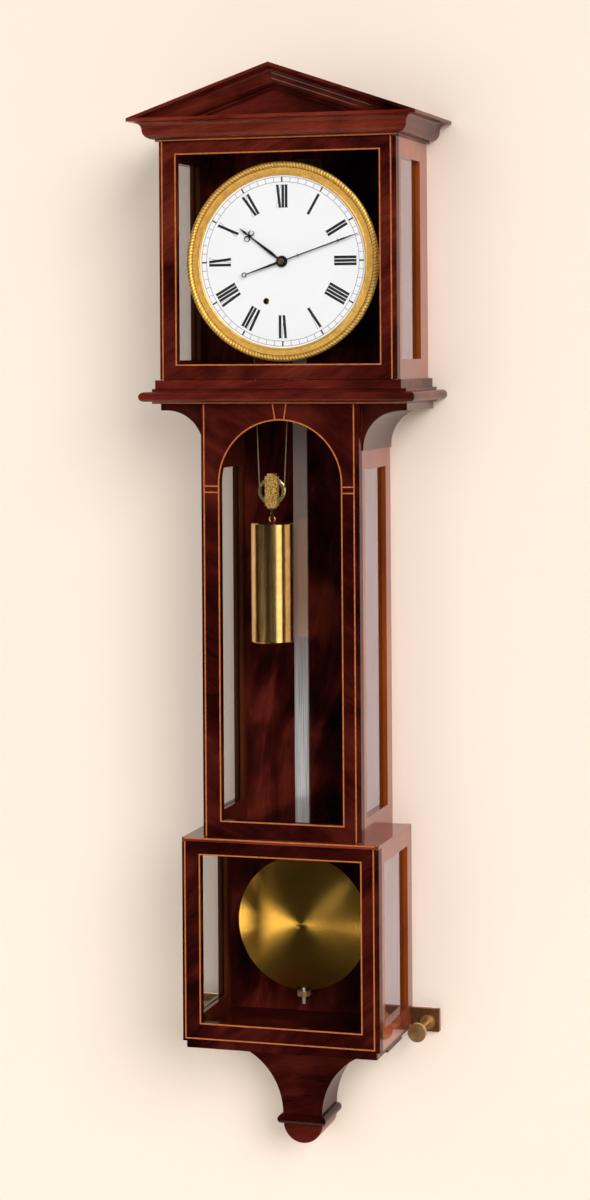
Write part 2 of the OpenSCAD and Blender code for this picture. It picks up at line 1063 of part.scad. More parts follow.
module dial_enamel() {
  color("#f4f3ee")
    at_dial()
      difference() {
        bar_y(0, 0, enamel_y, enamel_y + enamel_t, enamel_r + 4.5);
        bar_y(0, 0, enamel_y - 1, bezel_y, 4);
        bar_y(-wind_x, -wind_dn, enamel_y - 1, bezel_y, 3.7);
      }
}

// A cast ring: a half-round outer border, a flat band and a small inner bead
module bezel() {
  front = enamel_y + enamel_t + 0.1;
  rim = 3.2;
  color("#c79a3c")
    at_dial()
      turned_y(0, 0) {
        translate([enamel_r + 5.5, dial_y])
          square([bezel_r - enamel_r - 6.3, bezel_y - dial_y - rim]);
        translate([bezel_r - rim, bezel_y - rim])
          circle(rim);
        translate([enamel_r, front])
          square([bezel_r - enamel_r - rim, 1.2]);
        translate([enamel_r + 1.3, front + 1.2])
          circle(1.2);
      }
}

// The hour hand, drawn pointing up: a swelling shaft, two open crescents and a tip
module hour_shape() {
  ring = 48.6;
  circle(6.6);
  polygon([[-1, 5], [1, 5], [1.9, 16], [0.7, ring - 4], [0.7, ring + 3], [1.4, ring + 6],
    [0.2, hour_len], [-0.2, hour_len], [-1.4, ring + 6], [-0.7, ring + 3],
    [-0.7, ring - 4], [-1.9, 16]]);
  for (s = [-1, 1])
    translate([s * 3.9, ring])
      difference() {
        circle(3.4);
        translate([s * 0.5, 0])
          circle(2.4);
        translate([s * 2, s * 1.2 - 1.1])
          square([2.2, 2.2]);
      }
}

module hour_hand() {
  color("#1c1d26")
    at_dial()
      sheet_y(hour_y - hand_t, hour_y)
        rotate(-hour_at)
          difference() {
            hour_shape();
            circle(3.2);
          }
}

// The minute hand: a needle with two cross ticks, a spear tip and a ringed tail
module minute_shape() {
  tail = 46.7;
  tip = 70.6;
  circle(4.6);
  polygon([[-0.65, 0], [0.65, 0], [0.75, tip], [1, tip + 5], [0.2, minute_len],
    [-0.2, minute_len], [-1, tip + 5], [-0.75, tip]]);
  polygon([[-0.5, -tail + 2.6], [0.5, -tail + 2.6], [1.5, -4], [-1.5, -4]]);
  for (y = [20.6, tip])
    translate([-2.2, y - 0.4])
      square([4.4, 0.8]);
  translate([0, -tail])
    difference() {
      circle(2.9);
      circle(1.9);
    }
}

module minute_hand() {
  color("#1c1d26")
    at_dial()
      sheet_y(minute_y - hand_t, minute_y)
        rotate(-minute_at)
          difference() {
            minute_shape();
            circle(centre_r);
          }
}

// Movement.
module movement_posts() {
  color("#b08d3e")
    at_dial()
      for (p = post_at) {
        bar_y(p[0], p[1], back_t, back_in - plate_t, 5);
        bar_y(p[0], p[1], back_t, back_t + 3, 8);
      }
}

// Outline of a plate, narrower at its head and foot
module plate_shape() {
  polygon([[-plate_foot, plate_low], [plate_foot, plate_low], [plate_hw, -72],
    [plate_hw, 66], [plate_head, plate_hh], [-plate_head, plate_hh], [-plate_hw, 66],
    [-plate_hw, -72]]);
}

module movement_plates() {
  back = back_in - plate_t;
  front = front_in + plate_t;
  motion_x = motion_c * cos(motion_at);
  motion_z = motion_c * sin(motion_at);
  color("#b4944a")
    at_dial() {
      difference() {
        sheet_y(back, back_in)
          plate_shape();
        train_holes(back - 1, back_in + 1, pivot_r, 1.5, arbor_r);
      }
      difference() {
        sheet_y(front_in, front)
          plate_shape();
        train_holes(front_in - 1, front + 1, centre_r, 2.5, pivot_r);
      }
      for (p = pillar_at) {
        bar_y(p[0], p[1], back_in + hair, front_in - hair, 3.5);
        bar_y(p[0], p[1], back_in + 8, front_in - 8, 4.6);
      }
      bar_y(stud_x, fall_top_r + 1.6, back_in + hair, line_y + 2.6, 1);
      bar_y(stud_x, fall_top_r + 1.6, line_y + 1.1, line_y + 2.6, 2.2);
      bar_y(motion_x, motion_z, front + hair, hour_plane + 3, 1);
    }
}

// Holes for the arbors in a plate between depths d0 and d1
module train_holes(d0, d1, centre, wind, anchor) {
  bar_y(0, 0, d0, d1, centre + run_gap);
  bar_y(third_x, third_up, d0, d1, pivot_r + run_gap);
  bar_y(0, escape_up, d0, d1, pivot_r + run_gap);
  bar_y(0, pend_up, d0, d1, anchor + run_gap);
  bar_y(-wind_x, -wind_dn, d0, d1, wind + run_gap);
}

function ratchet_pts(n, r) = [
  for (i = [0:n - 1], k = [0:1])
    let (a = 360 / n * (i + 0.1 * k))
      (k == 0 ? r : r - 1.6) * [cos(a), sin(a)]
];

// Drum, its two flanges, the ratchet and the winding arbor with its square end
module barrel() {
  x = -wind_x;
  z = -wind_dn;
  core = drum_r * cos(180 / coil_n) - line_r - 0.05;
  color("#b4944a")
    at_dial() {
      bar_y(x, z, drum_back, drum_front, core);
      bar_y(x, z, drum_back, drum_back + 1.4, drum_flange);
      bar_y(x, z, drum_front - 1.4, drum_front, drum_flange);
      gear_at(x, z, drum_front + 0.9, 1.8, 0)
        linear_extrude(1.8)
          polygon(ratchet_pts(24, 15));
      bar_y(x, z, back_in + 0.3, front_in + plate_t + 1, 2.5);
      bar_y(x, z, back_in - plate_t, back_in + 1, 1.5);
      translate([x, -front_in - plate_t, z])
        rotate([90, 0, 0])
          cylinder(r = 2.4, h = 7, $fn = 4);
    }
}

// The line's turns on the drum, from the place where the left fall leaves it
coil_n = 24;
coil_pts = [
  for (i = [0:coil_n * drum_turns])
    let (a = 178.6 - 360 * i / coil_n, d = line_y - coil_step * i / coil_n)
      [-wind_x + drum_r * cos(a), -d, -wind_dn + drum_r * sin(a)]
];
coil_gap = min([
  for (i = [0:len(coil_pts) - 1], j = [0:len(coil_pts) - 1])
    if (j > i + coil_n / 2) norm(coil_pts[j] - coil_pts[i]) - line_d
]);

module drum_line() {
  echo(str("drum_line: least gap between turns ", coil_gap, " mm"));
  color("#8d7a4f")
    at_dial()
      tube(coil_pts, line_r, [0, 1, 0], 6);
}

// The great wheel, with the click of the ratchet on one of its arms
module great_wheel() {
  x = -wind_x;
  z = -wind_dn;
  thick = 2.5;
  click = 22.8;
  to_centre = atan2(wind_dn, wind_x);
  color("#c0a054")
    at_dial() {
      gear_at(x, z, great_plane, thick, to_centre)
        wheel(great_n, great_m, thick, 8, 2.5 + run_gap, 6, 5);
      gear_at(x, z, drum_front + 1.05, 1.3, to_centre)
        linear_extrude(1.3)
          polygon([[21, -2], [24.5, -1.5], [24.5, 2], [21.5, 2], [14.8, -4.2],
            [15.4, -6.2]]);
      bar_y(x + click * cos(to_centre), z + click * sin(to_centre),
        drum_front + 0.6, great_plane, 1.1);
    }
}

// Centre arbor with its wheel, pinion and cannon pinion, and the nut of the hands
module centre_wheel() {
  to_third = atan2(third_up, third_x);
  to_wind = atan2(-wind_dn, -wind_x);
  thick = 1.6;
  color("#c0a054")
    at_dial() {
      gear_at(0, 0, centre_plane, thick, to_third)
        wheel(wheel_n, train_m, thick, 5, 1, 4, 2.4);
      gear_at(0, 0, great_plane, 5, to_wind + 180 / centre_leaves)
        pinion(centre_leaves, great_m, 5);
      gear_at(0, 0, cannon_plane, 3, motion_at)
        pinion(cannon_n, cannon_m, 3);
      bar_y(0, 0, back_in + 0.3, minute_y + 1.6, centre_r);
      bar_y(0, 0, back_in - plate_t, back_in + 1, pivot_r);
      bar_y(0, 0, minute_y, minute_y + 1.2, 3.4);
    }
}

module third_wheel() {
  to_centre = atan2(-third_up, -third_x);
  to_escape = atan2(escape_up - third_up, -third_x);
  thick = 1.6;
  color("#c0a054")
    at_dial() {
      gear_at(third_x, third_up, centre_plane, 4, to_centre + 180 / leaves)
        pinion(leaves, train_m, 4);
      gear_at(third_x, third_up, third_plane, thick, to_escape)
        wheel(wheel_n, train_m, thick, 5, 1, 4, 2.4);
      arbor(third_x, third_up, arbor_r);
    }
}

function escape_pts(n, r) = [
  for (i = [0:n - 1], k = [0:3])
    let (a = 360 / n * (i + [0, 0.07, 0.3, 0.92][k]))
      (k < 2 ? r : r - 3.4) * [cos(a), sin(a)]
];

module escape_wheel() {
  to_third = atan2(third_up - escape_up, third_x);
  thick = 1.4;
  color("#c0a054")
    at_dial() {
      gear_at(0, escape_up, third_plane, 5, to_third + 180 / leaves)
        pinion(leaves, train_m, 5);
      gear_at(0, escape_up, escape_plane, thick, 0)
        linear_extrude(thick)
          difference() {
            polygon(escape_pts(escape_n, escape_r));
            difference() {
              circle(escape_r - 5.4);
              circle(4);
              for (a = [0, 90])
                rotate(a)
                  translate([-escape_r, -1])
                    square([2 * escape_r, 2]);
            }
          }
      arbor(0, escape_up, arbor_r);
    }
}

// The anchor between the plates, its arbor and the crutch that leads the rod
module anchor() {
  thick = 2.4;
  crutch_d = [60, 61.6];
  fork_z = -4;
  prong = rod_w / 2 + 0.3;
  color("#8f9296")
    at_dial() {
      sheet_y(escape_plane - thick / 2, escape_plane + thick / 2)
        translate([0, pend_up]) {
          circle(4.5);
          for (s = [-1, 1])
            polygon([[0, 4], [s * 3.5, 2.5], [s * 21, -17], [s * 19.6, -26],
              [s * 17.3, -24], [s * 16.6, -17.5], [0, -4]]);
        }
      bar_y(0, pend_up, crutch_d[0], front_in - 0.3, arbor_r);
      bar_y(0, pend_up, front_in - 1, front_in + plate_t, pivot_r);
      bar_y(0, pend_up, crutch_d[0] - 0.2, crutch_d[1] + 0.9, 4);
      slab(-2, 2, -crutch_d[1], -crutch_d[0], fork_z, pend_up);
      slab(-prong - 3, prong + 3, -crutch_d[1], -crutch_d[0], fork_z - 4, fork_z);
      both_sides()
        slab(prong, prong + 3, -crutch_d[1], -pend_y + rod_t / 2 + 2,
          fork_z - 4, fork_z);
    }
}

module minute_wheel() {
  x = motion_c * cos(motion_at);
  z = motion_c * sin(motion_at);
  color("#c0a054")
    at_dial()
      difference() {
        union() {
          gear_at(x, z, cannon_plane, 1.4, motion_at + 180 + 180 / minute_n)
            linear_extrude(1.4)
              polygon(tooth_pts(minute_n, cannon_m, 0.75, 1.1, 0.22, 0.48));
          gear_at(x, z, (cannon_plane + hour_plane) / 2 + 1.4, 6, motion_at + 180)
            pinion(minute_leaf_n, hour_m, 6);
        }
        bar_y(x, z, front_in, hour_plane + 5, 1 + run_gap);
      }
}

module hour_wheel() {
  color("#c0a054")
    at_dial()
      difference() {
        union() {
          gear_at(0, 0, hour_plane, 1.4, motion_at + 180 / hour_n)
            linear_extrude(1.4)
              polygon(tooth_pts(hour_n, hour_m, 0.75, 1.1, 0.22, 0.48));
          bar_y(0, 0, hour_plane - 1.2, hour_y + 0.4, 3.2);
        }
        bar_y(0, 0, hour_plane - 2, hour_y + 1, centre_r + run_gap);
      }
}

// Pendulum.
// The bracket on the backboard, with the slotted jaw that holds the spring
module suspension_cock() {
  jaw = 1;
  color("#b08d3e")
    at_dial()
      difference() {
        union() {
          slab(-16, 16, -back_t - 3, -back_t, pend_up - 9, pend_up + 27);
          slab(-5, 5, -pend_y + 4, -back_t, pend_up + jaw + 3, pend_up + 14);
          slab(-9, 9, -pend_y - 4, -pend_y + 6, pend_up + jaw, pend_up + 14);
        }
        slab(-0.6, 0.6, -pend_y - 5, -pend_y + 5, pend_up, pend_up + 10);
      }
}

module suspension_spring() {
  color("#9a9da1")
    at_dial()
      spring_strip();
}

module spring_strip() {
  slab(-0.15, 0.15, -pend_y - 3.5, -pend_y + 3.5, rod_top - 10, pend_up + 9);
}

module pendulum_rod() {
  color("#b6b8ba")
    at_dial() {
      difference() {
        slab(-rod_w / 2, rod_w / 2, -pend_y - rod_t / 2, -pend_y + rod_t / 2,
          rod_bot + 8, rod_top);
        spring_strip();
      }
      bar_z(0, pend_y, rod_bot - screw_l, rod_bot + 10, 1.9);
    }
}

// A lens turned from brass, with the channel that the rod passes through
module bob() {
  edge = 3;
  rise = (bob_t - edge) / 2;
  big_r = (bob_r * bob_r + rise * rise) / (2 * rise);
  off = big_r - bob_t / 2;
  color("#a9822f")
    at_dial()
      difference() {
        turned_y(0, bob_z)
          intersection() {
            translate([0, pend_y - bob_t / 2])
              square([bob_r, bob_t]);
            translate([0, pend_y - off])
              circle(big_r, $fn = 360);
            translate([0, pend_y + off])
              circle(big_r, $fn = 360);
          }
        slab(-rod_w / 2 - 0.1, rod_w / 2 + 0.1, -pend_y - rod_t / 2 - 0.1,
          -pend_y + rod_t / 2 + 0.1, rod_bot - 1, bob_z + bob_r + 1);
      }
}

module rating_nut() {
  z = rod_bot - 0.6 - nut_t;
  color("#a98a45")
    at_dial()
      difference() {
        translate([0, -pend_y, z])
          linear_extrude(nut_t)
            polygon(tooth_pts(24, 0.6, 0.4, 0.3, 0.4, 0.6));
        bar_z(0, pend_y, z - 1, z + nut_t + 1, 1.9 + run_gap);
      }
}

// Weight, pulley and line.
module ring_link(d, z, r, wire, turn) {
  translate([-pulley_x, -d, z])
    rotate([90, 0, turn])
      rotate_extrude()
        translate([r, 0])
          circle(wire, $fn = 24);
}

module weight() {
  edge = 1.2;
  color("#b58b32")
    at_dial() {
      translate([-pulley_x, -line_y, weight_z - weight_h])
        rotate_extrude()
          polygon([[0, 0], [weight_r - edge, 0], [weight_r, edge],
            [weight_r, weight_h - edge], [weight_r - edge, weight_h], [0, weight_h]]);
      ring_link(line_y, weight_z + 4.1, 3.4, 0.8, 0);
    }
}

// One cheek of the pulley block, drawn in X and Z about the axle: a plate with
// stepped ends, notched sides and a small point below
module cheek_shape() {
  difference() {
    union() {
      translate([-7.2, -17])
        square([14.4, 34]);
      translate([-4.6, -20.5])
        square([9.2, 40.5]);
      polygon([[-2.6, -20.4], [2.6, -20.4], [0, -22.3]]);
    }
    for (x = [-7.6, 7.6], z = [-12, 12])
      translate([x, z])
        circle(1.8);
  }
}

module pulley_block() {
  side = 3.1;
  cheek = 1.5;
  color("#c0933a")
    at_dial() {
      translate([-pulley_x, 0, -pulley_dn]) {
        for (d = [line_y - side - cheek, line_y + side])
          sheet_y(d, d + cheek)
            cheek_shape();
        bar_y(0, 0, line_y - side - 0.5, line_y + side + 0.5, 1.4);
        bar_y(0, 0, line_y + side, line_y + side + cheek + 1, 3);
        slab(-4, 4, -line_y - side, -line_y + side, -20.5, -17);
      }
      ring_link(line_y, weight_z + 9.9, 4.2, 0.8, 90);
      bar_z(-pulley_x, line_y, weight_z + 14.3, -pulley_dn - 20.4, 1.2);
    }
}

// The grooved pulley wheel, crossed out to a thin rim on four spokes
module pulley_wheel() {
  half = 2.6;
  groove = pulley_r - line_r - 0.1;
  rim = groove - 1.6;
  color("#c0933a")
    at_dial()
      difference() {
        turned_y(-pulley_x, -pulley_dn)
          translate([0, line_y])
            difference() {
              translate([1.4 + run_gap, -half])
                square([pulley_r + 1 - 1.4 - run_gap, 2 * half]);
              polygon([[groove, -0.9], [pulley_r + 2, -2.2], [pulley_r + 2, 2.2],
                [groove, 0.9]]);
            }
        translate([-pulley_x, 0, -pulley_dn])
          sheet_y(line_y - half - 1, line_y + half + 1)
            difference() {
              circle(rim);
              circle(3.6);
              for (a = [45, 135])
                rotate(a)
                  square([2 * rim + 2, 2], center = true);
            }
      }
}

// A straight piece of line from p down to q in the line's plane, each as X and Z
module fall(p, q) {
  v = p - q;
  color("#8d7a4f")
    translate([q[0], -line_y, q[1]])
      rotate([0, atan2(v[0], v[1]), 0])
        cylinder(r = line_r, h = norm(v), $fn = 16);
}

module line_fall_left() {
  at_dial()
    fall([drum_edge, fall_top_l], [-pulley_x - pulley_r, -pulley_dn + 0.3]);
}

module line_fall_right() {
  at_dial()
    fall([stud_x, fall_top_r], [-pulley_x + pulley_r, -pulley_dn + 0.3]);
}

module line_bight() {
  color("#8d7a4f")
    at_dial()
      translate([-pulley_x, -line_y, -pulley_dn])
        rotate([90, 180, 0])
          rotate_extrude(angle = 180)
            translate([pulley_r, 0])
              circle(line_r, $fn = 16);
}

// Levelling screws.
module levelling_plates() {
  color("#3f150e")
    at_dial()
      both_sides()
        difference() {
          slab(box_hw + hair, level_x + 13.5, -8, 0, level_plate_z[0], level_plate_z[1]);
          bar_y(level_x, level_z, -1, 9, level_r + run_gap);
        }
}

module levelling_screw(s) {
  color("#a98a45")
    at_dial()
      turned_y(s * level_x, level_z) {
        polygon([[0, 0.6], [0.8, 0.6], [level_r, 5], [level_r, 62], [0, 62]]);
        translate([0, 8.4])
          square([8.7, 2.6]);
        translate([0, 56])
          square([9.8, 6]);
        translate([0, 57])
          square([10.8, 4]);
      }
}

module levelling_screw_left() {
  levelling_screw(-1);
}

module levelling_screw_right() {
  levelling_screw(1);
}

// Assembly.
backboard();
hanging_plate();
head_sides();
trunk_sides();
box_sides();
side_glass();
cornice();
roof();
pediment_moulding();
tympanum();
hood_floor();
waist_moulding();
case_stringing();
consoles();
box_top();
plinth();
drop();
finial();
head_door_frame();
head_door_glass();
head_door_stringing();
head_door_pins();
trunk_door_frame();
trunk_door_glass();
trunk_door_stringing();
trunk_door_pins();
box_door_frame();
box_door_glass();
box_door_stringing();
box_door_pins();
dial_back();
dial_enamel();
bezel();
movement_posts();
movement_plates();
barrel();
drum_line();
great_wheel();
centre_wheel();
third_wheel();
escape_wheel();
anchor();
minute_wheel();
hour_wheel();
hour_hand();
minute_hand();
suspension_cock();
suspension_spring();
pendulum_rod();
bob();
rating_nut();
weight();
pulley_block();
pulley_wheel();
line_fall_left();
line_fall_right();
line_bight();
levelling_plates();
levelling_screw_left();
levelling_screw_right();
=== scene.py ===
import math

import bmesh
import bpy
from mathutils import Matrix, Vector


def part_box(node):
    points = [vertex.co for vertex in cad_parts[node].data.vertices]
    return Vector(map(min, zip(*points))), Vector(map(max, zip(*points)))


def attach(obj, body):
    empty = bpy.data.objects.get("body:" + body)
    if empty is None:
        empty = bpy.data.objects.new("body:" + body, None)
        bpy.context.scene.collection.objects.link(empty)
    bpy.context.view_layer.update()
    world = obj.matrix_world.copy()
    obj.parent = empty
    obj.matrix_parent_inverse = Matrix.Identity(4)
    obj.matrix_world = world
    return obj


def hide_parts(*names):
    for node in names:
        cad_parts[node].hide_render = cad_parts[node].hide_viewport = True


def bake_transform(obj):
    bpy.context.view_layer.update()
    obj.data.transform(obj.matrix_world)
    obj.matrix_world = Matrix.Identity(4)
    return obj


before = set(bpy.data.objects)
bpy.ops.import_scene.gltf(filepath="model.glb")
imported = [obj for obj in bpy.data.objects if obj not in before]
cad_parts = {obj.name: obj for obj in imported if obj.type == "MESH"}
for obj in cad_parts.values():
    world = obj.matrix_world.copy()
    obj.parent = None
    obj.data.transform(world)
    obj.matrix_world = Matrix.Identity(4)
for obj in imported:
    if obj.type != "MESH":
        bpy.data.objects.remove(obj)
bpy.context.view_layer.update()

MM = 0.001

# Sizes that the CAD source also uses, in metres.
DIAL_Z = -112 * MM
ENAMEL_R = 98.5 * MM
ENAMEL_FRONT = -122.5 * MM
BEZEL_R = 114 * MM
BEZEL_RIM = 3.2 * MM
BEZEL_FRONT = -127 * MM

# The bezel's chased leaves: how many, and how far they lean, in radians per metre outwards.
LEAVES = 186
LEAF_SLANT = 620.0
LEAF_BORDER_R = 107.3 * MM


# Shader helpers. A value is a number, a colour or vector, or another node's output.
def new_material(name):
    mat = bpy.data.materials.new(name)
    mat.use_nodes = True
    tree = mat.node_tree
    tree.nodes.clear()
    out = tree.nodes.new("ShaderNodeOutputMaterial")
    bsdf = tree.nodes.new("ShaderNodeBsdfPrincipled")
    tree.links.new(bsdf.outputs[0], out.inputs[0])
    return mat, tree, bsdf


def set_socket(node, **values):
    for key, value in values.items():
        node.inputs[key.replace("_", " ")].default_value = value


def feed(tree, socket, value):
    if isinstance(value, bpy.types.NodeSocket):
        tree.links.new(value, socket)
    else:
        socket.default_value = value


def number(tree, operation, *values, clamp=False):
    """The result of a Math node."""
    node = tree.nodes.new("ShaderNodeMath")
    node.operation = operation
    node.use_clamp = clamp
    for socket, value in zip(node.inputs, values):
        feed(tree, socket, value)
    return node.outputs[0]


def vector(tree, operation, *values):
    """The result of a Vector Math node, which is one number for a length or dot product."""
    node = tree.nodes.new("ShaderNodeVectorMath")
    node.operation = operation
    for socket, value in zip(node.inputs, values):
        feed(tree, socket, value)
    return node.outputs["Value" if operation in ("LENGTH", "DOT_PRODUCT") else "Vector"]


def along(tree, source, axis):
    """The X, Y or Z part of a vector."""
    parts = tree.nodes.new("ShaderNodeSeparateXYZ")
    tree.links.new(source, parts.inputs[0])
    return parts.outputs[axis]


def coordinates(tree, kind):
    return tree.nodes.new("ShaderNodeTexCoord").outputs[kind]


def ray(tree, kind):
    return tree.nodes.new("ShaderNodeLightPath").outputs[kind]


def texture_space(tree, scale, turn=(0, 0, 0), move=(0, 0, 0)):
    """Object coordinates, turned first and then scaled along their own axes."""
    mapping = tree.nodes.new("ShaderNodeMapping")
    mapping.vector_type = "TEXTURE"
    mapping.inputs["Location"].default_value = move
    mapping.inputs["Rotation"].default_value = [math.radians(a) for a in turn]
    mapping.inputs["Scale"].default_value = [1 / s for s in scale]
    tree.links.new(coordinates(tree, "Object"), mapping.inputs["Vector"])
    return mapping.outputs["Vector"]


def noise(tree, place, detail=4.0, rough=0.55, distortion=0.0):
    node = tree.nodes.new("ShaderNodeTexNoise")
    set_socket(node, Scale=1.0, Detail=detail, Roughness=rough, Distortion=distortion)
    tree.links.new(place, node.inputs["Vector"])
    return node.outputs["Fac"]


def ramp(tree, value, stops):
    node = tree.nodes.new("ShaderNodeValToRGB")
    elements = node.color_ramp.elements
    while len(elements) < len(stops):
        elements.new(0.5)
    for element, (place, colour) in zip(elements, stops):
        element.position = place
        element.color = (*colour, 1)
    tree.links.new(value, node.inputs["Fac"])
    return node.outputs["Color"]


def spread(tree, value, low, high, new_low, new_high):
    """The value carried from one range to another, and held at that range's ends."""
    node = tree.nodes.new("ShaderNodeMapRange")
    set_socket(node, From_Min=low, From_Max=high, To_Min=new_low, To_Max=new_high)
    tree.links.new(value, node.inputs["Value"])
    return node.outputs["Result"]


def mix_colour(tree, share, first, second, mode="MIX"):
    node = tree.nodes.new("ShaderNodeMix")
    node.data_type = "RGBA"
    node.blend_type = mode
    for socket, value in zip((node.inputs[0], node.inputs[6], node.inputs[7]),
                             (share, first, second)):
        feed(tree, socket, value)
    return node.outputs[2]


def mix_shaders(tree, share, first, second):
    """Sends two shaders to the material's output, the second with that share."""
    mix = tree.nodes.new("ShaderNodeMixShader")
    tree.links.new(share, mix.inputs[0])
    tree.links.new(first.outputs[0], mix.inputs[1])
    tree.links.new(second.outputs[0], mix.inputs[2])
    tree.links.new(mix.outputs[0], tree.nodes["Material Output"].inputs[0])


def bump(tree, bsdf, height, strength, distance):
    node = tree.nodes.new("ShaderNodeBump")
    set_socket(node, Strength=strength, Distance=distance)
    tree.links.new(height, node.inputs["Height"])
    tree.links.new(node.outputs["Normal"], bsdf.inputs["Normal"])


# How finely each texture is laid over a piece, across and along its grain.
FLAME_SCALE = (24, 24, 6)
CLOUD_SCALE = (7, 7, 7)
FIBRE_SCALE = (420, 420, 16)
PORE_SCALE = (1300, 1300, 60)
SHEEN_SCALE = (18, 18, 18)
CLOUD_SHARE = 0.35
FLAME_SHARE = 0.65
PORE_SHADE = [(0.34, (0.62, 0.58, 0.58)), (0.43, (1, 1, 1))]


# Materials.
def mahogany(name, tones, turn=(0, 0, 0), move=(0, 0, 0), figure=1.0, gloss=0.6, reveal=None,
             painted_light_across=None, coat_ior=1.5):
    """French-polished veneer: dark clouds and flames over fine fibres and pores.

    reveal is another colour for the faces that look to the front, as cut edges do. The next
    argument holds two places across the clock and how strong the colour is at each: painted
    light and shade, the sides and box top lighter towards the right where the lamps fall, and
    the backboard darker towards its right where shade falls inside the case."""
    mat, tree, bsdf = new_material(name)
    flame_scale = [figure * s for s in FLAME_SCALE]
    flame = noise(tree, texture_space(tree, flame_scale, turn, move), 4, 0.55, 1.2)
    cloud = noise(tree, texture_space(tree, CLOUD_SCALE, move=move), 3, 0.5, 0.6)
    fibre = noise(tree, texture_space(tree, FIBRE_SCALE, turn, move), 3, 0.6)
    pore = noise(tree, texture_space(tree, PORE_SCALE, turn, move), 2, 0.5)
    sheen = noise(tree, texture_space(tree, SHEEN_SCALE, move=move), 3, 0.6)
    both = number(tree, "MULTIPLY_ADD", flame, FLAME_SHARE,
                  spread(tree, cloud, 0.25, 0.75, 0.0, CLOUD_SHARE))
    colour = ramp(tree, both, [(0.36, tones[0]), (0.50, tones[1]), (0.66, tones[2])])
    streak = spread(tree, fibre, 0.3, 0.7, 0.84, 1.14)
    colour = mix_colour(tree, 1.0, colour, streak, "MULTIPLY")
    colour = mix_colour(tree, 1.0, colour, ramp(tree, pore, PORE_SHADE), "MULTIPLY")
    if reveal:
        cut = ramp(tree, flame, [(0.3, reveal[0]), (0.7, reveal[1])])
        front = spread(tree, along(tree, coordinates(tree, "Normal"), "Y"), -0.9, -0.6, 1.0, 0.0)
        colour = mix_colour(tree, front, colour, cut)
    # Painted light and shade: the colour is scaled from left to right across the clock.
    if painted_light_across:
        across = along(tree, coordinates(tree, "Object"), "X")
        colour = mix_colour(tree, 1.0, colour, spread(tree, across, *painted_light_across), "MULTIPLY")
    tree.links.new(colour, bsdf.inputs["Base Color"])
    tree.links.new(spread(tree, sheen, 0.3, 0.7, 0.34, 0.48), bsdf.inputs["Roughness"])
    set_socket(bsdf, Coat_Weight=gloss, Coat_Roughness=0.09, Coat_IOR=coat_ior, IOR=1.45,
               Specular_IOR_Level=0.0)
    bump(tree, bsdf, fibre, 0.08, 0.2 * MM)
    return mat


def inlay(name):
    mat, tree, bsdf = new_material(name)
    grain = noise(tree, texture_space(tree, (300, 300, 300)), 3, 0.6)
    tree.links.new(ramp(tree, grain, [(0.3, (0.38, 0.10, 0.022)), (0.7, (0.60, 0.19, 0.045))]),
                   bsdf.inputs["Base Color"])
    set_socket(bsdf, Roughness=0.35, Coat_Weight=0.3, Coat_Roughness=0.12,
               Specular_IOR_Level=0.1)
    return mat


def metal(name, light, dark, rough, grain=(400, 400, 400), brushed=0.1, worn=0.5):
    """Polished or gilt metal, a little tarnished in patches, with a fine surface grain."""
    mat, tree, bsdf = new_material(name)
    patches = noise(tree, texture_space(tree, (38, 38, 38)), 5, 0.65, 0.5)
    tree.links.new(ramp(tree, patches, [(0.5 - worn / 2, dark), (0.5 + worn / 2, light)]),
                   bsdf.inputs["Base Color"])
    fine = noise(tree, texture_space(tree, grain), 3, 0.6)
    tree.links.new(spread(tree, fine, 0.3, 0.7, rough * 0.85, rough * 1.2),
                   bsdf.inputs["Roughness"])
    set_socket(bsdf, Metallic=1.0)
    bump(tree, bsdf, fine, brushed, 0.2 * MM)
    return mat


def from_centre(tree, centre):
    """The vector out from a turned piece's axis along Y, and its length."""
    offset = vector(tree, "SUBTRACT", coordinates(tree, "Object"), centre)
    outward = vector(tree, "MULTIPLY", offset, (1, 0, 1))
    return outward, vector(tree, "LENGTH", outward)


def turned_metal(name, light, dark, rough, anisotropy, centre, scratches, depth):
    """Metal turned on a lathe: concentric scratches about the Y axis through the centre."""
    mat, tree, bsdf = new_material(name)
    outward, radius = from_centre(tree, centre)
    rings = tree.nodes.new("ShaderNodeTexNoise")
    rings.noise_dimensions = "1D"
    set_socket(rings, Scale=scratches, Detail=4.0, Roughness=0.7)
    tree.links.new(radius, rings.inputs["W"])
    patches = noise(tree, texture_space(tree, (26, 26, 26)), 4, 0.6)
    colour = ramp(tree, patches, [(0.3, dark), (0.7, light)])
    shade = spread(tree, rings.outputs["Fac"], 0.3, 0.7, 0.80, 1.12)
    tree.links.new(mix_colour(tree, 1.0, colour, shade, "MULTIPLY"), bsdf.inputs["Base Color"])
    tree.links.new(outward, bsdf.inputs["Tangent"])
    set_socket(bsdf, Metallic=1.0, Roughness=rough, Anisotropic=anisotropy)
    bump(tree, bsdf, rings.outputs["Fac"], depth, 0.1 * MM)
    return mat


# The heights between which the pendulum rod's colour changes from light below to dark brown
# above: a painted reflection.
ROD_PAINTED_LIGHT_LOW_Z = -0.64
ROD_PAINTED_DARK_HIGH_Z = -0.50


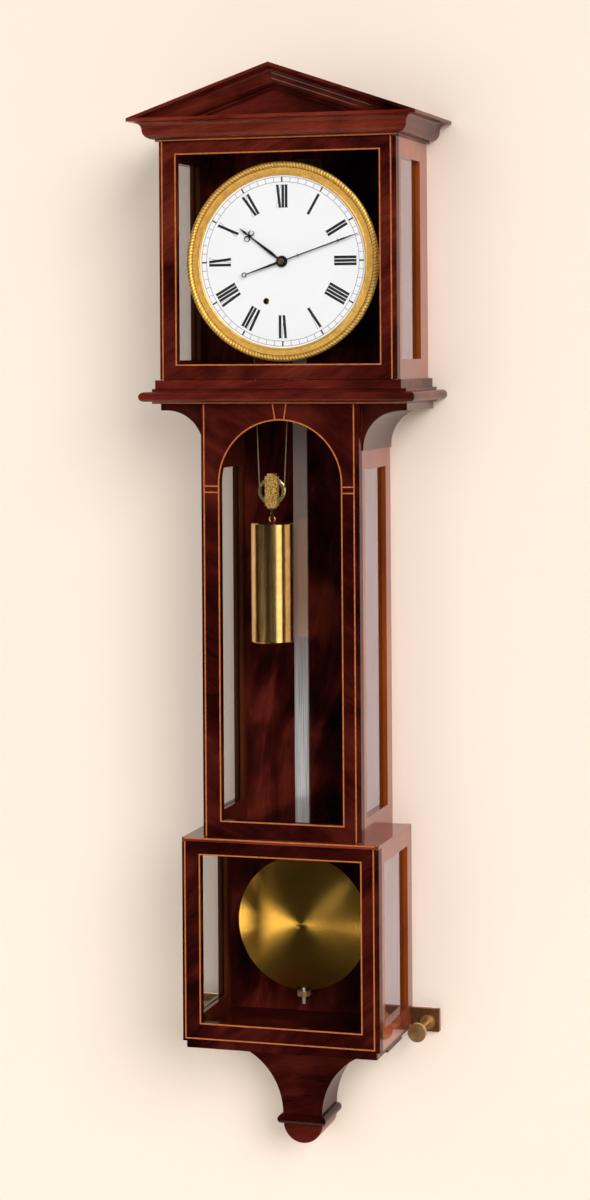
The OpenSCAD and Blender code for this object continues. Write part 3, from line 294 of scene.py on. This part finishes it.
def drawn_steel(name, light, dark, painted_dark_colour, rough):
    """Polished bar with its scratches along Z, which spread light across it. Its colour is
    painted darker and browner above and lighter at its lower end: a painted reflection."""
    mat, tree, bsdf = new_material(name)
    streaks = noise(tree, texture_space(tree, (700, 700, 8)), 4, 0.6)
    bright = ramp(tree, streaks, [(0.36, dark), (0.60, light)])
    height = along(tree, coordinates(tree, "Object"), "Z")
    # Painted reflection: the colour goes from the lighter streaked steel low down to the darker
    # brown colour above.
    painted_dark_share = spread(tree, height, ROD_PAINTED_LIGHT_LOW_Z, ROD_PAINTED_DARK_HIGH_Z, 0.0, 1.0)
    tree.links.new(mix_colour(tree, painted_dark_share, bright, painted_dark_colour), bsdf.inputs["Base Color"])
    tree.links.new(vector(tree, "CROSS_PRODUCT", coordinates(tree, "Normal"), (0, 0, 1)),
                   bsdf.inputs["Tangent"])
    set_socket(bsdf, Metallic=0.6, Roughness=rough, Anisotropic=0.8)
    return mat


def chased_gilding(name, light, dark, centre, border):
    """Matte gilding round a dial: slanting leaves outside the radius border, a granular
    band inside it, and thin dark lines where the mouldings meet. The chasing's hollows are
    painted darker and its tops lighter, and the dark lines are painted shade in that crease."""
    mat, tree, bsdf = new_material(name)
    line_half = 0.25 * MM
    blend_half = 0.2 * MM
    outward, radius = from_centre(tree, centre)
    angle = number(tree, "ARCTAN2", along(tree, outward, "X"), along(tree, outward, "Z"))
    around = number(tree, "MULTIPLY", angle, float(LEAVES))
    wave = number(tree, "SINE", number(tree, "MULTIPLY_ADD", radius, LEAF_SLANT, around))
    grains = noise(tree, texture_space(tree, (1100, 1100, 1100)), 3, 0.7)
    leaf = spread(tree, wave, -1, 1, 0.0, 1.0)
    outside = spread(tree, radius, border - blend_half, border + blend_half, 0.0, 1.0)
    height = mix_colour(tree, outside, grains, leaf)
    worn = ramp(tree, noise(tree, texture_space(tree, (190, 190, 190)), 5, 0.75),
                [(0.33, dark), (0.60, light)])
    # Painted shade and highlight: the chasing's hollows darker and its raised tops lighter.
    shade = ramp(tree, height, [(0.0, (0.55, 0.48, 0.40)), (0.45, (0.92, 0.90, 0.88)),
                                (1.0, (1.08, 1.08, 1.08))])
    shaded = mix_colour(tree, 1.0, worn, shade, "MULTIPLY")
    # Painted shade: a thin dark line in the crease at the foot of the rope.
    lines = number(tree, "COMPARE", radius, border, line_half)
    tree.links.new(mix_colour(tree, lines, shaded, (0.12, 0.07, 0.025, 1)),
                   bsdf.inputs["Base Color"])
    set_socket(bsdf, Metallic=0.8, Roughness=0.5)
    bump(tree, bsdf, height, 0.55, 0.5 * MM)
    return mat


def chased_mount(name, light, dark, foot):
    """Cast and chased scrollwork: small raised leaves with dark hollows between them.
    Below the height foot it is plain and dark brown."""
    mat, tree, bsdf = new_material(name)
    cells = tree.nodes.new("ShaderNodeTexVoronoi")
    cells.feature = "SMOOTH_F1"
    set_socket(cells, Scale=1.0, Smoothness=0.4)
    swirl = noise(tree, texture_space(tree, (260, 260, 260)), 2, 0.5)
    tree.links.new(vector(tree, "MULTIPLY_ADD", swirl, (1.1, 1.1, 1.1),
                          texture_space(tree, (620, 620, 620))), cells.inputs["Vector"])
    height = spread(tree, cells.outputs["Distance"], 0.15, 0.75, 1.0, 0.0)
    above = spread(tree, along(tree, coordinates(tree, "Object"), "Z"), foot - MM, foot + MM,
                   0.0, 1.0)
    chased = ramp(tree, height, [(0.12, dark), (0.55, light)])
    tree.links.new(mix_colour(tree, above, (0.10, 0.055, 0.022, 1), chased),
                   bsdf.inputs["Base Color"])
    set_socket(bsdf, Metallic=1.0, Roughness=0.36)
    bump(tree, bsdf, height, 0.6, 0.4 * MM)
    return mat


def door_glass(name):
    """Clear flat glass that bends and mirrors light, and lets daylight fall through."""
    mat, tree, bsdf = new_material(name)
    smears = noise(tree, texture_space(tree, (14, 14, 9)), 3, 0.5)
    tree.links.new(ramp(tree, smears, [(0.3, (1, 1, 1)), (0.7, (0.985, 0.995, 0.99))]),
                   bsdf.inputs["Base Color"])
    set_socket(bsdf, Roughness=0.0, Transmission_Weight=1.0, IOR=1.2)
    clear = tree.nodes.new("ShaderNodeBsdfTransparent")
    daylight = number(tree, "MAXIMUM", ray(tree, "Is Shadow Ray"), ray(tree, "Is Diffuse Ray"))
    mix_shaders(tree, daylight, bsdf, clear)
    return mat


def window_glass(name, mirror_left, mirror_right, tint, clear):
    """A thin pane that mirrors more the flatter it is looked at. It may mirror more on the
    right of the clock than on its left, and it lets little of the lamps' light through."""
    mat, tree, bsdf = new_material(name)
    tree.nodes.remove(bsdf)
    see = tree.nodes.new("ShaderNodeBsdfTransparent")
    gloss = tree.nodes.new("ShaderNodeBsdfGlossy")
    smears = noise(tree, texture_space(tree, (16, 16, 9)), 4, 0.6)
    seen = ramp(tree, smears, [(0.3, clear), (0.7, tuple(0.985 * c for c in clear))])
    tree.links.new(mix_colour(tree, ray(tree, "Is Shadow Ray"), seen, (0.3, 0.3, 0.3, 1)),
                   see.inputs["Color"])
    tree.links.new(ramp(tree, smears, [(0.3, tint), (0.7, tuple(0.93 * c for c in tint))]),
                   gloss.inputs["Color"])
    tree.links.new(spread(tree, smears, 0.3, 0.7, 0.01, 0.06), gloss.inputs["Roughness"])
    fresnel = tree.nodes.new("ShaderNodeFresnel")
    set_socket(fresnel, IOR=1.5)
    side = spread(tree, along(tree, coordinates(tree, "Object"), "X"), -0.02, 0.02,
                  mirror_left, mirror_right)
    share = number(tree, "MULTIPLY", fresnel.outputs[0], side, clamp=True)
    mix_shaders(tree, share, see, gloss)
    return mat


def enamel_white(name):
    mat, tree, bsdf = new_material(name)
    clouds = noise(tree, texture_space(tree, (30, 30, 30)), 4, 0.6)
    tree.links.new(ramp(tree, clouds, [(0.3, (0.920, 0.930, 0.955)),
                                       (0.7, (0.942, 0.948, 0.962))]),
                   bsdf.inputs["Base Color"])
    set_socket(bsdf, Roughness=0.3, Coat_Weight=0.5, Coat_Roughness=0.05)
    return mat


def black_paint(name, colour, rough):
    mat, tree, bsdf = new_material(name)
    fine = noise(tree, texture_space(tree, (500, 500, 500)), 3, 0.6)
    lighter = tuple(2.2 * c + 0.004 for c in colour)
    tree.links.new(ramp(tree, fine, [(0.35, colour), (0.75, lighter)]),
                   bsdf.inputs["Base Color"])
    tree.links.new(spread(tree, fine, 0.3, 0.7, rough * 0.8, rough * 1.3),
                   bsdf.inputs["Roughness"])
    return mat


def gut_line(name):
    mat, tree, bsdf = new_material(name)
    twist = tree.nodes.new("ShaderNodeTexWave")
    set_socket(twist, Scale=1.0, Distortion=0.4)
    tree.links.new(texture_space(tree, (500, 500, 900)), twist.inputs["Vector"])
    tree.links.new(ramp(tree, twist.outputs["Fac"],
                        [(0.0, (0.10, 0.065, 0.04)), (1.0, (0.30, 0.21, 0.13))]),
                   bsdf.inputs["Base Color"])
    set_socket(bsdf, Roughness=0.5)
    bump(tree, bsdf, twist.outputs["Fac"], 0.5, 0.3 * MM)
    return mat


# The tones of the wood, each from its darkest to its lightest.
DARK = [(0.0110, 0.0010, 0.0008), (0.034, 0.0030, 0.0022), (0.086, 0.0105, 0.0058)]
MID = [(0.0200, 0.0020, 0.0014), (0.064, 0.0064, 0.0040), (0.135, 0.0185, 0.0090)]
WARM = [(0.0420, 0.0045, 0.0028), (0.110, 0.0115, 0.0064), (0.200, 0.0300, 0.0140)]
BACK = [(0.0080, 0.0010, 0.0008), (0.036, 0.0040, 0.0028), (0.140, 0.0190, 0.0100)]
# The sides' and box top's tones are the same mahogany painted much lighter: painted light and
# sheen where these faces catch the lamps and mirror the wall.
SIDE_PAINTED_LIGHT = [(0.1400, 0.0200, 0.0100), (0.260, 0.0400, 0.0180), (0.370, 0.0700, 0.0300)]
EDGE = [(0.16, 0.026, 0.002), (0.31, 0.065, 0.006)]
SCREW_LIGHT = (0.88, 0.58, 0.27)
SCREW_DARK = (0.58, 0.37, 0.16)

# The height of the ring below the pulley's cheeks, which isn't chased.
PULLEY_RING = 12 * MM


def middle(name):
    """The middle of a node's box."""
    low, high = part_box(name)
    return (low + high) / 2


M = {
    "cornice": mahogany("mahogany_cornice", WARM, turn=(0, 84, 0), move=(3, 1, 2)),
    "rake": mahogany("mahogany_rake", MID, turn=(0, 76, 0), move=(7, 2, 5), figure=0.9),
    "tympanum": mahogany("mahogany_tympanum", WARM, turn=(0, 72, 0), move=(1, 6, 3),
                         figure=0.8),
    "frame": mahogany("mahogany_frame", MID, turn=(0, 62, 0), move=(5, 5, 1)),
    "trunk": mahogany("mahogany_trunk", DARK, turn=(0, -58, 0), move=(2, 9, 4), figure=0.9),
    "console": mahogany("mahogany_console", DARK, turn=(0, -58, 0), move=(2, 9, 4),
                        figure=0.9, gloss=0.8, coat_ior=2.2),
    "box": mahogany("mahogany_box", DARK, turn=(0, 55, 0), move=(8, 3, 7)),
    # The sides and the box top carry painted light: lighter again towards the right, where the
    # lamps fall.
    "sides": mahogany("mahogany_sides", SIDE_PAINTED_LIGHT, turn=(6, 0, 0), move=(4, 4, 9), figure=0.8,
                      gloss=1.0, reveal=EDGE, painted_light_across=(-0.08, 0.08, 0.30, 1.05),
                      coat_ior=2.10),
    "top": mahogany("mahogany_top", SIDE_PAINTED_LIGHT, turn=(0, 84, 0), move=(1, 7, 4), figure=0.9,
                    gloss=1.0, painted_light_across=(-0.11, 0.11, 0.45, 0.9), coat_ior=1.9),
    # The backboard carries painted shade: darker towards its right, where the case shades it.
    "back": mahogany("mahogany_back", BACK, turn=(0, 12, 0), move=(6, 8, 2), figure=1.1,
                     gloss=0.3, painted_light_across=(-0.02, 0.04, 1.25, 0.35)),
    "waist": mahogany("mahogany_waist", WARM, turn=(0, 82, 0), move=(9, 1, 6), figure=1.1),
    "drop": mahogany("mahogany_drop", DARK, turn=(0, 80, 0), move=(2, 2, 8), figure=1.2),
    "string": inlay("inlaid_line"),
    "glass": door_glass("door_pane"),
    "side_glass": window_glass("side_pane", mirror_left=0.2, mirror_right=2.3,
                               tint=(0.95, 0.90, 1.0), clear=(0.99, 0.99, 0.99)),
    "enamel": enamel_white("dial_enamel_white"),
    "black": black_paint("dial_black", (0.004, 0.004, 0.005), rough=0.45),
    "blued": black_paint("blued_steel_hand", (0.006, 0.006, 0.010), rough=0.25),
    "gilt": chased_gilding("gilt_bezel", (1.0, 0.63, 0.16), (0.74, 0.42, 0.085),
                           centre=middle("bezel"), border=LEAF_BORDER_R),
    "chased": chased_mount("gilt_chased_mount", (0.98, 0.64, 0.19), (0.36, 0.19, 0.045),
                           foot=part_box("pulley_block")[0].z + PULLEY_RING),
    "brass": metal("brass_fitting", (0.60, 0.40, 0.17), (0.28, 0.17, 0.065), rough=0.36,
                   grain=(700, 700, 700), brushed=0.15, worn=0.6),
    "wheel": metal("wheel_brass", (0.78, 0.58, 0.26), (0.58, 0.40, 0.15), rough=0.28,
                   grain=(600, 600, 600)),
    "weight": metal("weight_brass", (0.88, 0.56, 0.21), (0.48, 0.26, 0.085), rough=0.17,
                    grain=(900, 900, 14)),
    "bob": turned_metal("bob_brass", (0.90, 0.51, 0.09), (0.70, 0.38, 0.06), rough=0.22,
                        anisotropy=0.9, centre=middle("bob"), scratches=900.0, depth=0.10),
    "disc_left": turned_metal("left_screw_brass", SCREW_LIGHT, SCREW_DARK, rough=0.42,
                              anisotropy=0.5, centre=middle("levelling_screw_left"),
                              scratches=700.0, depth=0.4),
    "disc_right": turned_metal("right_screw_brass", SCREW_LIGHT, SCREW_DARK, rough=0.42,
                               anisotropy=0.5, centre=middle("levelling_screw_right"),
                               scratches=700.0, depth=0.4),
    "bronze": metal("levelling_plate_bronze", (0.32, 0.17, 0.080), (0.15, 0.075, 0.035),
                    rough=0.42, grain=(500, 500, 500), brushed=0.2, worn=0.6),
    # The rod's colours: lighter streaked steel, and above it a darker brown that is a painted
    # reflection.
    "rod": drawn_steel("polished_rod", (0.97, 0.96, 0.95), (0.46, 0.44, 0.43),
                       painted_dark_colour=(0.42, 0.32, 0.29, 1), rough=0.17),
    "steel": metal("grey_steel", (0.55, 0.56, 0.58), (0.35, 0.36, 0.38), rough=0.32,
                   grain=(600, 600, 600)),
    "gut": gut_line("gut_line"),
}

FINISH = {
    "cornice": ["cornice", "roof"],
    "rake": ["pediment_moulding"],
    "tympanum": ["tympanum", "finial"],
    "frame": ["head_door_frame"],
    "trunk": ["trunk_door_frame"],
    "console": ["consoles"],
    "box": ["box_door_frame", "plinth"],
    "sides": ["head_sides", "trunk_sides", "box_sides"],
    "top": ["box_top"],
    "back": ["backboard"],
    "waist": ["hood_floor", "waist_moulding"],
    "drop": ["drop"],
    "bronze": ["levelling_plates", "suspension_cock"],
    "string": ["case_stringing", "head_door_stringing", "trunk_door_stringing",
               "box_door_stringing"],
    "glass": ["head_door_glass", "trunk_door_glass", "box_door_glass"],
    "side_glass": ["side_glass"],
    "enamel": ["dial_enamel"],
    "blued": ["hour_hand", "minute_hand"],
    "gilt": ["bezel"],
    "chased": ["pulley_block"],
    "brass": ["hanging_plate", "head_door_pins", "trunk_door_pins", "box_door_pins",
              "rating_nut", "dial_back"],
    "disc_left": ["levelling_screw_left"],
    "disc_right": ["levelling_screw_right"],
    "wheel": ["movement_posts", "movement_plates", "barrel", "great_wheel",
              "centre_wheel", "third_wheel", "escape_wheel", "minute_wheel",
              "hour_wheel", "pulley_wheel"],
    "weight": ["weight"],
    "bob": ["bob"],
    "rod": ["pendulum_rod"],
    "steel": ["suspension_spring", "anchor"],
    "gut": ["drum_line", "line_fall_left", "line_fall_right", "line_bight"],
}
WORN_WOODS = ("cornice", "rake", "frame", "trunk", "console", "box", "sides", "top", "waist",
              "drop")
EDGE_ROUNDING = 0.45 * MM
EDGE_ANGLE = 40


def paint_nodes():
    for key, names in FINISH.items():
        for name in names:
            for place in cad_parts[name].material_slots:
                place.material = M[key]


def soften_edges():
    """The small rounding that polish leaves on wooden edges."""
    for key in WORN_WOODS:
        for name in FINISH[key]:
            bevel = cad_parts[name].modifiers.new("worn_edge", "BEVEL")
            bevel.width = EDGE_ROUNDING
            bevel.segments = 2
            bevel.limit_method = "ANGLE"
            bevel.angle_limit = math.radians(EDGE_ANGLE)
            bevel.harden_normals = False


# Mesh pieces.
def new_piece(name, build, material):
    """A mesh that the function build makes, with its normals outwards."""
    mesh = bpy.data.meshes.new(name)
    work = bmesh.new()
    build(work)
    bmesh.ops.recalc_face_normals(work, faces=work.faces)
    work.to_mesh(mesh)
    work.free()
    mesh.materials.append(material)
    piece = bpy.data.objects.new(name, mesh)
    bpy.context.scene.collection.objects.link(piece)
    return piece


def add_mesh(name, build, material, body):
    piece = new_piece(name, build, material)
    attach(piece, body)


def dial_point(r, angle, side=0.0, depth=ENAMEL_FRONT):
    """A point r out from the dial's centre, the angle past twelve, and side to the right."""
    a = math.radians(angle)
    return Vector((r * math.sin(a) + side * math.cos(a), depth,
                   DIAL_Z + r * math.cos(a) - side * math.sin(a)))


LETTER_THICK = 0.05 * MM
SERIF_THICK = 0.06 * MM
RING_THICK = 0.04 * MM


def raised(work, points, thick=LETTER_THICK):
    """A thin layer of paint with this outline, standing on the enamel."""
    back = [work.verts.new(p) for p in points]
    front = [work.verts.new(p + Vector((0, -thick, 0))) for p in points]
    work.faces.new(front)
    work.faces.new(list(reversed(back)))
    count = len(points)
    for i in range(count):
        j = (i + 1) % count
        work.faces.new((back[i], back[j], front[j], front[i]))


def join_round(work, rows, smooth=False):
    """Skins a closed ring whose cross-sections are the rows."""
    for a, b in zip(rows, rows[1:] + rows[:1]):
        count = len(a)
        for k in range(count):
            j = (k + 1) % count
            work.faces.new((a[k], b[k], b[j], a[j])).smooth = smooth


# Roman numerals. The widths are across a letter.
NUMERALS = ["XII", "I", "II", "III", "IIII", "V", "VI", "VII", "VIII", "IX", "X", "XI"]
NUM_LOW = 0.622 * ENAMEL_R
NUM_TALL = 0.266 * ENAMEL_R
STROKE = 3.1 * MM
HAIR = 0.42 * MM
WIDTHS = {"I": 3.9 * MM, "V": 6.2 * MM, "X": 6.2 * MM}
SERIF_TALL = 0.16 * MM
SERIF_DROP = 0.14 * MM
SERIF_PAST_STROKE = 0.75 * MM
HAIR_SERIF_HALF = 0.9 * MM

# Minute track, between two rings.
TRACK_OUTER_R = 0.978 * ENAMEL_R
TRACK_INNER_R = 0.920 * ENAMEL_R
OUTER_RING = 0.46 * MM
INNER_RING = 0.42 * MM
MINUTE_MARK = 0.42 * MM
FIFTH_MARK = 1.7 * MM
RING_STEPS = 240


def letter_bars(letter):
    """Each bar of a letter: foot and head places across it, and the bar's width."""
    w = WIDTHS[letter]
    if letter == "I":
        return [(w / 2, w / 2, STROKE)]
    if letter == "V":
        return [(w * 0.56, w * 0.26, STROKE), (w * 0.60, w * 0.93, HAIR)]
    return [(w * 0.76, w * 0.26, STROKE), (w * 0.10, w * 0.92, HAIR)]


def letter_serifs(letter):
    """Each serif of a letter: its middle across, its half width, and 0 foot or 1 head."""
    w = WIDTHS[letter]
    wide = STROKE / 2 + SERIF_PAST_STROKE
    if letter == "I":
        return [(w / 2, wide, 0), (w / 2, wide, 1)]
    if letter == "V":
        return [(w * 0.26, wide, 1), (w * 0.93, HAIR_SERIF_HALF, 1)]
    return [(w * 0.76, wide, 0), (w * 0.10, HAIR_SERIF_HALF, 0), (w * 0.26, wide, 1),
            (w * 0.92, HAIR_SERIF_HALF, 1)]


def bar_outline(angle, foot, head, width, low, high):
    return [dial_point(low, angle, foot - width / 2), dial_point(low, angle, foot + width / 2),
            dial_point(high, angle, head + width / 2), dial_point(high, angle, head - width / 2)]


def build_numerals(work):
    for hour, text in enumerate(NUMERALS):
        angle = hour * 30
        at = -sum(WIDTHS[c] for c in text) / 2
        for letter in text:
            for foot, head, width in letter_bars(letter):
                raised(work, bar_outline(angle, at + foot, at + head, width,
                                         NUM_LOW, NUM_LOW + NUM_TALL))
            for across, half, end in letter_serifs(letter):
                low = NUM_LOW + end * (NUM_TALL - SERIF_DROP)
                raised(work, bar_outline(angle, at + across, at + across, 2 * half,
                                         low, low + SERIF_TALL), SERIF_THICK)
            at += WIDTHS[letter]


def ring_band(work, r, width):
    section = [(-width / 2, 0), (-width / 2, RING_THICK), (width / 2, RING_THICK),
               (width / 2, 0)]
    join_round(work, [[work.verts.new(dial_point(r + w, 360 * i / RING_STEPS, 0,
                                                 ENAMEL_FRONT - d)) for w, d in section]
                      for i in range(RING_STEPS)])


def build_track(work):
    ring_band(work, TRACK_OUTER_R, OUTER_RING)
    ring_band(work, TRACK_INNER_R, INNER_RING)
    for minute in range(60):
        width = FIFTH_MARK if minute % 5 == 0 else MINUTE_MARK
        raised(work, bar_outline(minute * 6, 0, 0, width, TRACK_INNER_R, TRACK_OUTER_R))


ROPE_MIDDLE_R = BEZEL_R - BEZEL_RIM - 0.05 * MM
ROPE_Y = BEZEL_FRONT + BEZEL_RIM
ROPE_R = 3.02 * MM
LEAF_SLANT_R = 3 * MM
LEAF_HIGH = 0.16 * MM


def build_rope(work):
    """The chased outer border of the bezel: a ring of slanting leaves."""
    steps, around = 8 * LEAVES, 14
    rows = []
    for i in range(steps):
        angle = 360 * i / steps
        row = []
        for k in range(around):
            turn = 2 * math.pi * k / around
            slant = LEAF_SLANT * (ROPE_MIDDLE_R + LEAF_SLANT_R * math.cos(turn))
            r = ROPE_R + LEAF_HIGH * math.sin(LEAVES * math.radians(angle) + slant)
            row.append(work.verts.new(dial_point(
                ROPE_MIDDLE_R + r * math.cos(turn), angle, 0, ROPE_Y - r * math.sin(turn))))
        rows.append(row)
    join_round(work, rows, smooth=True)


# How near to its end a line's points count as its end face.
LINE_END = 0.3 * MM


def line_end(points, top):
    """The middle of the round end of a straight piece of line, and its radius."""
    edge = max(p.z for p in points) if top else min(p.z for p in points)
    near = [p for p in points if abs(p.z - edge) < LINE_END]
    centre = sum(near, Vector()) / len(near)
    return centre, max((p - centre).length for p in near)


def build_tube(work, foot, head, r):
    """A tube in many short lengths, so that it can stretch."""
    around, lengths = 12, 48
    rings = []
    for i in range(lengths + 1):
        c = foot.lerp(head, i / lengths)
        rings.append([work.verts.new((c.x + r * math.cos(2 * math.pi * k / around),
                                      c.y + r * math.sin(2 * math.pi * k / around),
                                      c.z)) for k in range(around)])
    for a, b in zip(rings, rings[1:]):
        for k in range(around):
            j = (k + 1) % around
            work.faces.new((a[k], a[j], b[j], b[k])).smooth = True
    work.faces.new(list(reversed(rings[0])))
    work.faces.new(rings[-1])


def add_falls():
    """The two falls of the line as tubes in many short lengths, in place of the line's own
    falls.
    """
    for side in ("left", "right"):
        node = "line_fall_" + side
        points = [Vector(v.co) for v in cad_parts[node].data.vertices]
        head, r = line_end(points, top=True)
        foot = line_end(points, top=False)[0]
        piece = new_piece("stretching_line_" + side,
                          lambda work: build_tube(work, foot, head, r), M["gut"])
        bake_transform(piece)
        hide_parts(node)


def add_dial_work():
    add_mesh("dial_numerals", build_numerals, M["black"], "case")
    add_mesh("dial_minute_track", build_track, M["black"], "case")
    add_mesh("bezel_chased_border", build_rope, M["gilt"], "case")


# Stage, light and camera.
WALL_COLOUR = (0.965, 0.835, 0.712)
PALE = (0.98, 0.86, 0.74, 1)
WALL_Y = 1.2 * MM
WALL_HALF = 5
WALL_HIGH = 3
FLOOR_Z = -3
FLOOR_FRONT = -2.4
CLOSE = 4 * MM


def stage_material(name):
    """Plain pale surface that is seen only from its front, so that the back view is open.
    What lies right against it lets light past, so that the clock's back is lit too."""
    mat, tree, bsdf = new_material(name)
    clouds = noise(tree, texture_space(tree, (3, 3, 3)), 2, 0.5)
    paler = tuple(min(1.0, c * 1.01) for c in WALL_COLOUR)
    tree.links.new(ramp(tree, clouds, [(0.3, WALL_COLOUR), (0.7, paler)]),
                   bsdf.inputs["Base Color"])
    set_socket(bsdf, Roughness=0.9, Specular_IOR_Level=0.1)
    clear = tree.nodes.new("ShaderNodeBsdfTransparent")
    behind = tree.nodes.new("ShaderNodeNewGeometry").outputs["Backfacing"]
    close = number(tree, "LESS_THAN", ray(tree, "Ray Length"), CLOSE)
    mix_shaders(tree, number(tree, "MAXIMUM", behind, close), bsdf, clear)
    return mat


def stage_plane(name, corners, material):
    mesh = bpy.data.meshes.new(name)
    mesh.from_pydata([Vector(c) for c in corners], [], [(0, 1, 2, 3)])
    mesh.materials.append(material)
    plane = bpy.data.objects.new(name, mesh)
    bpy.context.scene.collection.objects.link(plane)


def add_stage():
    foot_left = (-WALL_HALF, WALL_Y, FLOOR_Z)
    foot_right = (WALL_HALF, WALL_Y, FLOOR_Z)
    stage_plane("stage_wall", [foot_left, foot_right, (WALL_HALF, WALL_Y, WALL_HIGH),
                               (-WALL_HALF, WALL_Y, WALL_HIGH)],
                stage_material("stage_wall_paint"))
    stage_plane("stage_floor", [(-WALL_HALF, FLOOR_FRONT, FLOOR_Z),
                                (WALL_HALF, FLOOR_FRONT, FLOOR_Z), foot_right, foot_left],
                stage_material("stage_floor_paint"))


def towards(azimuth, elevation):
    """The direction to a place in the surroundings, in degrees to the right and up."""
    a, e = math.radians(azimuth), math.radians(elevation)
    return Vector((math.sin(a) * math.cos(e), -math.cos(a) * math.cos(e), math.sin(e)))


def new_lamp(data, colour, aim):
    data.color = colour
    lamp = bpy.data.objects.new(data.name, data)
    lamp.rotation_euler = aim.to_track_quat("-Z", "Y").to_euler()
    bpy.context.scene.collection.objects.link(lamp)
    return lamp


def area_light(name, place, target, size, size_y, watts, colour):
    data = bpy.data.lights.new(name, "AREA")
    data.shape = "RECTANGLE"
    data.size = size
    data.size_y = size_y
    data.energy = watts
    lamp = new_lamp(data, colour, Vector(target) - Vector(place))
    lamp.location = place
    return lamp


def sun_light(name, azimuth, elevation, width, strength, colour=(1, 1, 1)):
    """An even soft light from that side; its width in degrees softens the shadows."""
    data = bpy.data.lights.new(name, "SUN")
    data.energy = strength
    data.angle = math.radians(width)
    return new_lamp(data, colour, -towards(azimuth, elevation))


def facing(tree, direction, azimuth, elevation, width, edge):
    """1 within width degrees of that place in the surroundings, and 0 past its soft edge."""
    dot = vector(tree, "DOT_PRODUCT", direction, towards(azimuth, elevation))
    return spread(tree, dot, math.cos(math.radians(width + edge)),
                  math.cos(math.radians(width)), 0.0, 1.0)


ROOM = [(0.0, (0.010, 0.010, 0.010)), (0.7, (0.16, 0.14, 0.12)), (1.0, PALE[:3])]
PANEL_WHITE = (2.2, 2.1, 1.9, 1)
WINDOW_WHITE = (2.4, 2.3, 2.1, 1)
SOFT_LIGHT = (0.24, 0.24, 0.245, 1)


def add_world():
    """Pale surroundings that light evenly. Metal and glass show them at the sides and
    behind, and before the clock a dark room with a white panel and a small window."""
    world = bpy.data.worlds.new("studio")
    bpy.context.scene.world = world
    world.use_nodes = True
    tree = world.node_tree
    direction = coordinates(tree, "Generated")
    depth = spread(tree, along(tree, direction, "Y"), -0.60, 0.25, 0.0, 1.0)
    panel = facing(tree, direction, azimuth=56, elevation=-6, width=9, edge=13)
    mirrored = mix_colour(tree, panel, ramp(tree, depth, ROOM), PANEL_WHITE)
    window = facing(tree, direction, azimuth=6, elevation=-13, width=1, edge=2.5)
    mirrored = mix_colour(tree, window, mirrored, WINDOW_WHITE)
    soft = mix_colour(tree, ray(tree, "Is Diffuse Ray"), mirrored, SOFT_LIGHT)
    tree.links.new(mix_colour(tree, ray(tree, "Is Camera Ray"), soft, PALE),
                   tree.nodes["Background"].inputs["Color"])


def add_lights():
    """Two soft lights before the clock, one behind it, and a panel that only polished
    pieces mirror. What glass and metal show has no image of the fill light."""
    sun_light("key", azimuth=38, elevation=21, width=34, strength=1.95, colour=(1, 0.99, 0.98))
    fill = sun_light("front_fill", azimuth=-14, elevation=6, width=60, strength=1.05)
    fill.visible_glossy = False
    fill.visible_transmission = False
    low = area_light("low_panel", place=(-2.5, -3.2, -1.70), target=(0, 0, -0.90), size=2.0,
                     size_y=0.7, watts=15, colour=(1, 0.96, 0.9))
    low.visible_camera = False
    low.visible_diffuse = False
    sun_light("behind", azimuth=205, elevation=30, width=40, strength=1.9)


VIEW_TURN = 16.53
CAMERA_AT = Vector((0.8828, -3.0489, -0.2152))
CAMERA_ROLL = -0.383
LENS = 80.59
SENSOR = 36
SHIFT_Y = -0.2066


def add_camera():
    a, roll = math.radians(VIEW_TURN), math.radians(CAMERA_ROLL)
    forward = Vector((-math.sin(a), math.cos(a), 0))
    level = Vector((math.cos(a), math.sin(a), 0))
    up = Vector((0, 0, 1))
    right = math.cos(roll) * level + math.sin(roll) * up
    top = -math.sin(roll) * level + math.cos(roll) * up
    data = bpy.data.cameras.new("camera")
    data.lens = LENS
    data.sensor_width = SENSOR
    data.shift_y = SHIFT_Y
    camera = bpy.data.objects.new("camera", data)
    bpy.context.scene.collection.objects.link(camera)
    turn = Matrix((right, top, -forward)).transposed().to_4x4()
    camera.matrix_world = Matrix.Translation(CAMERA_AT) @ turn
    bpy.context.scene.camera = camera


paint_nodes()
soften_edges()
add_dial_work()
add_falls()
add_stage()
add_lights()
add_world()
add_camera()
bpy.context.scene.view_settings.view_transform = "Standard"
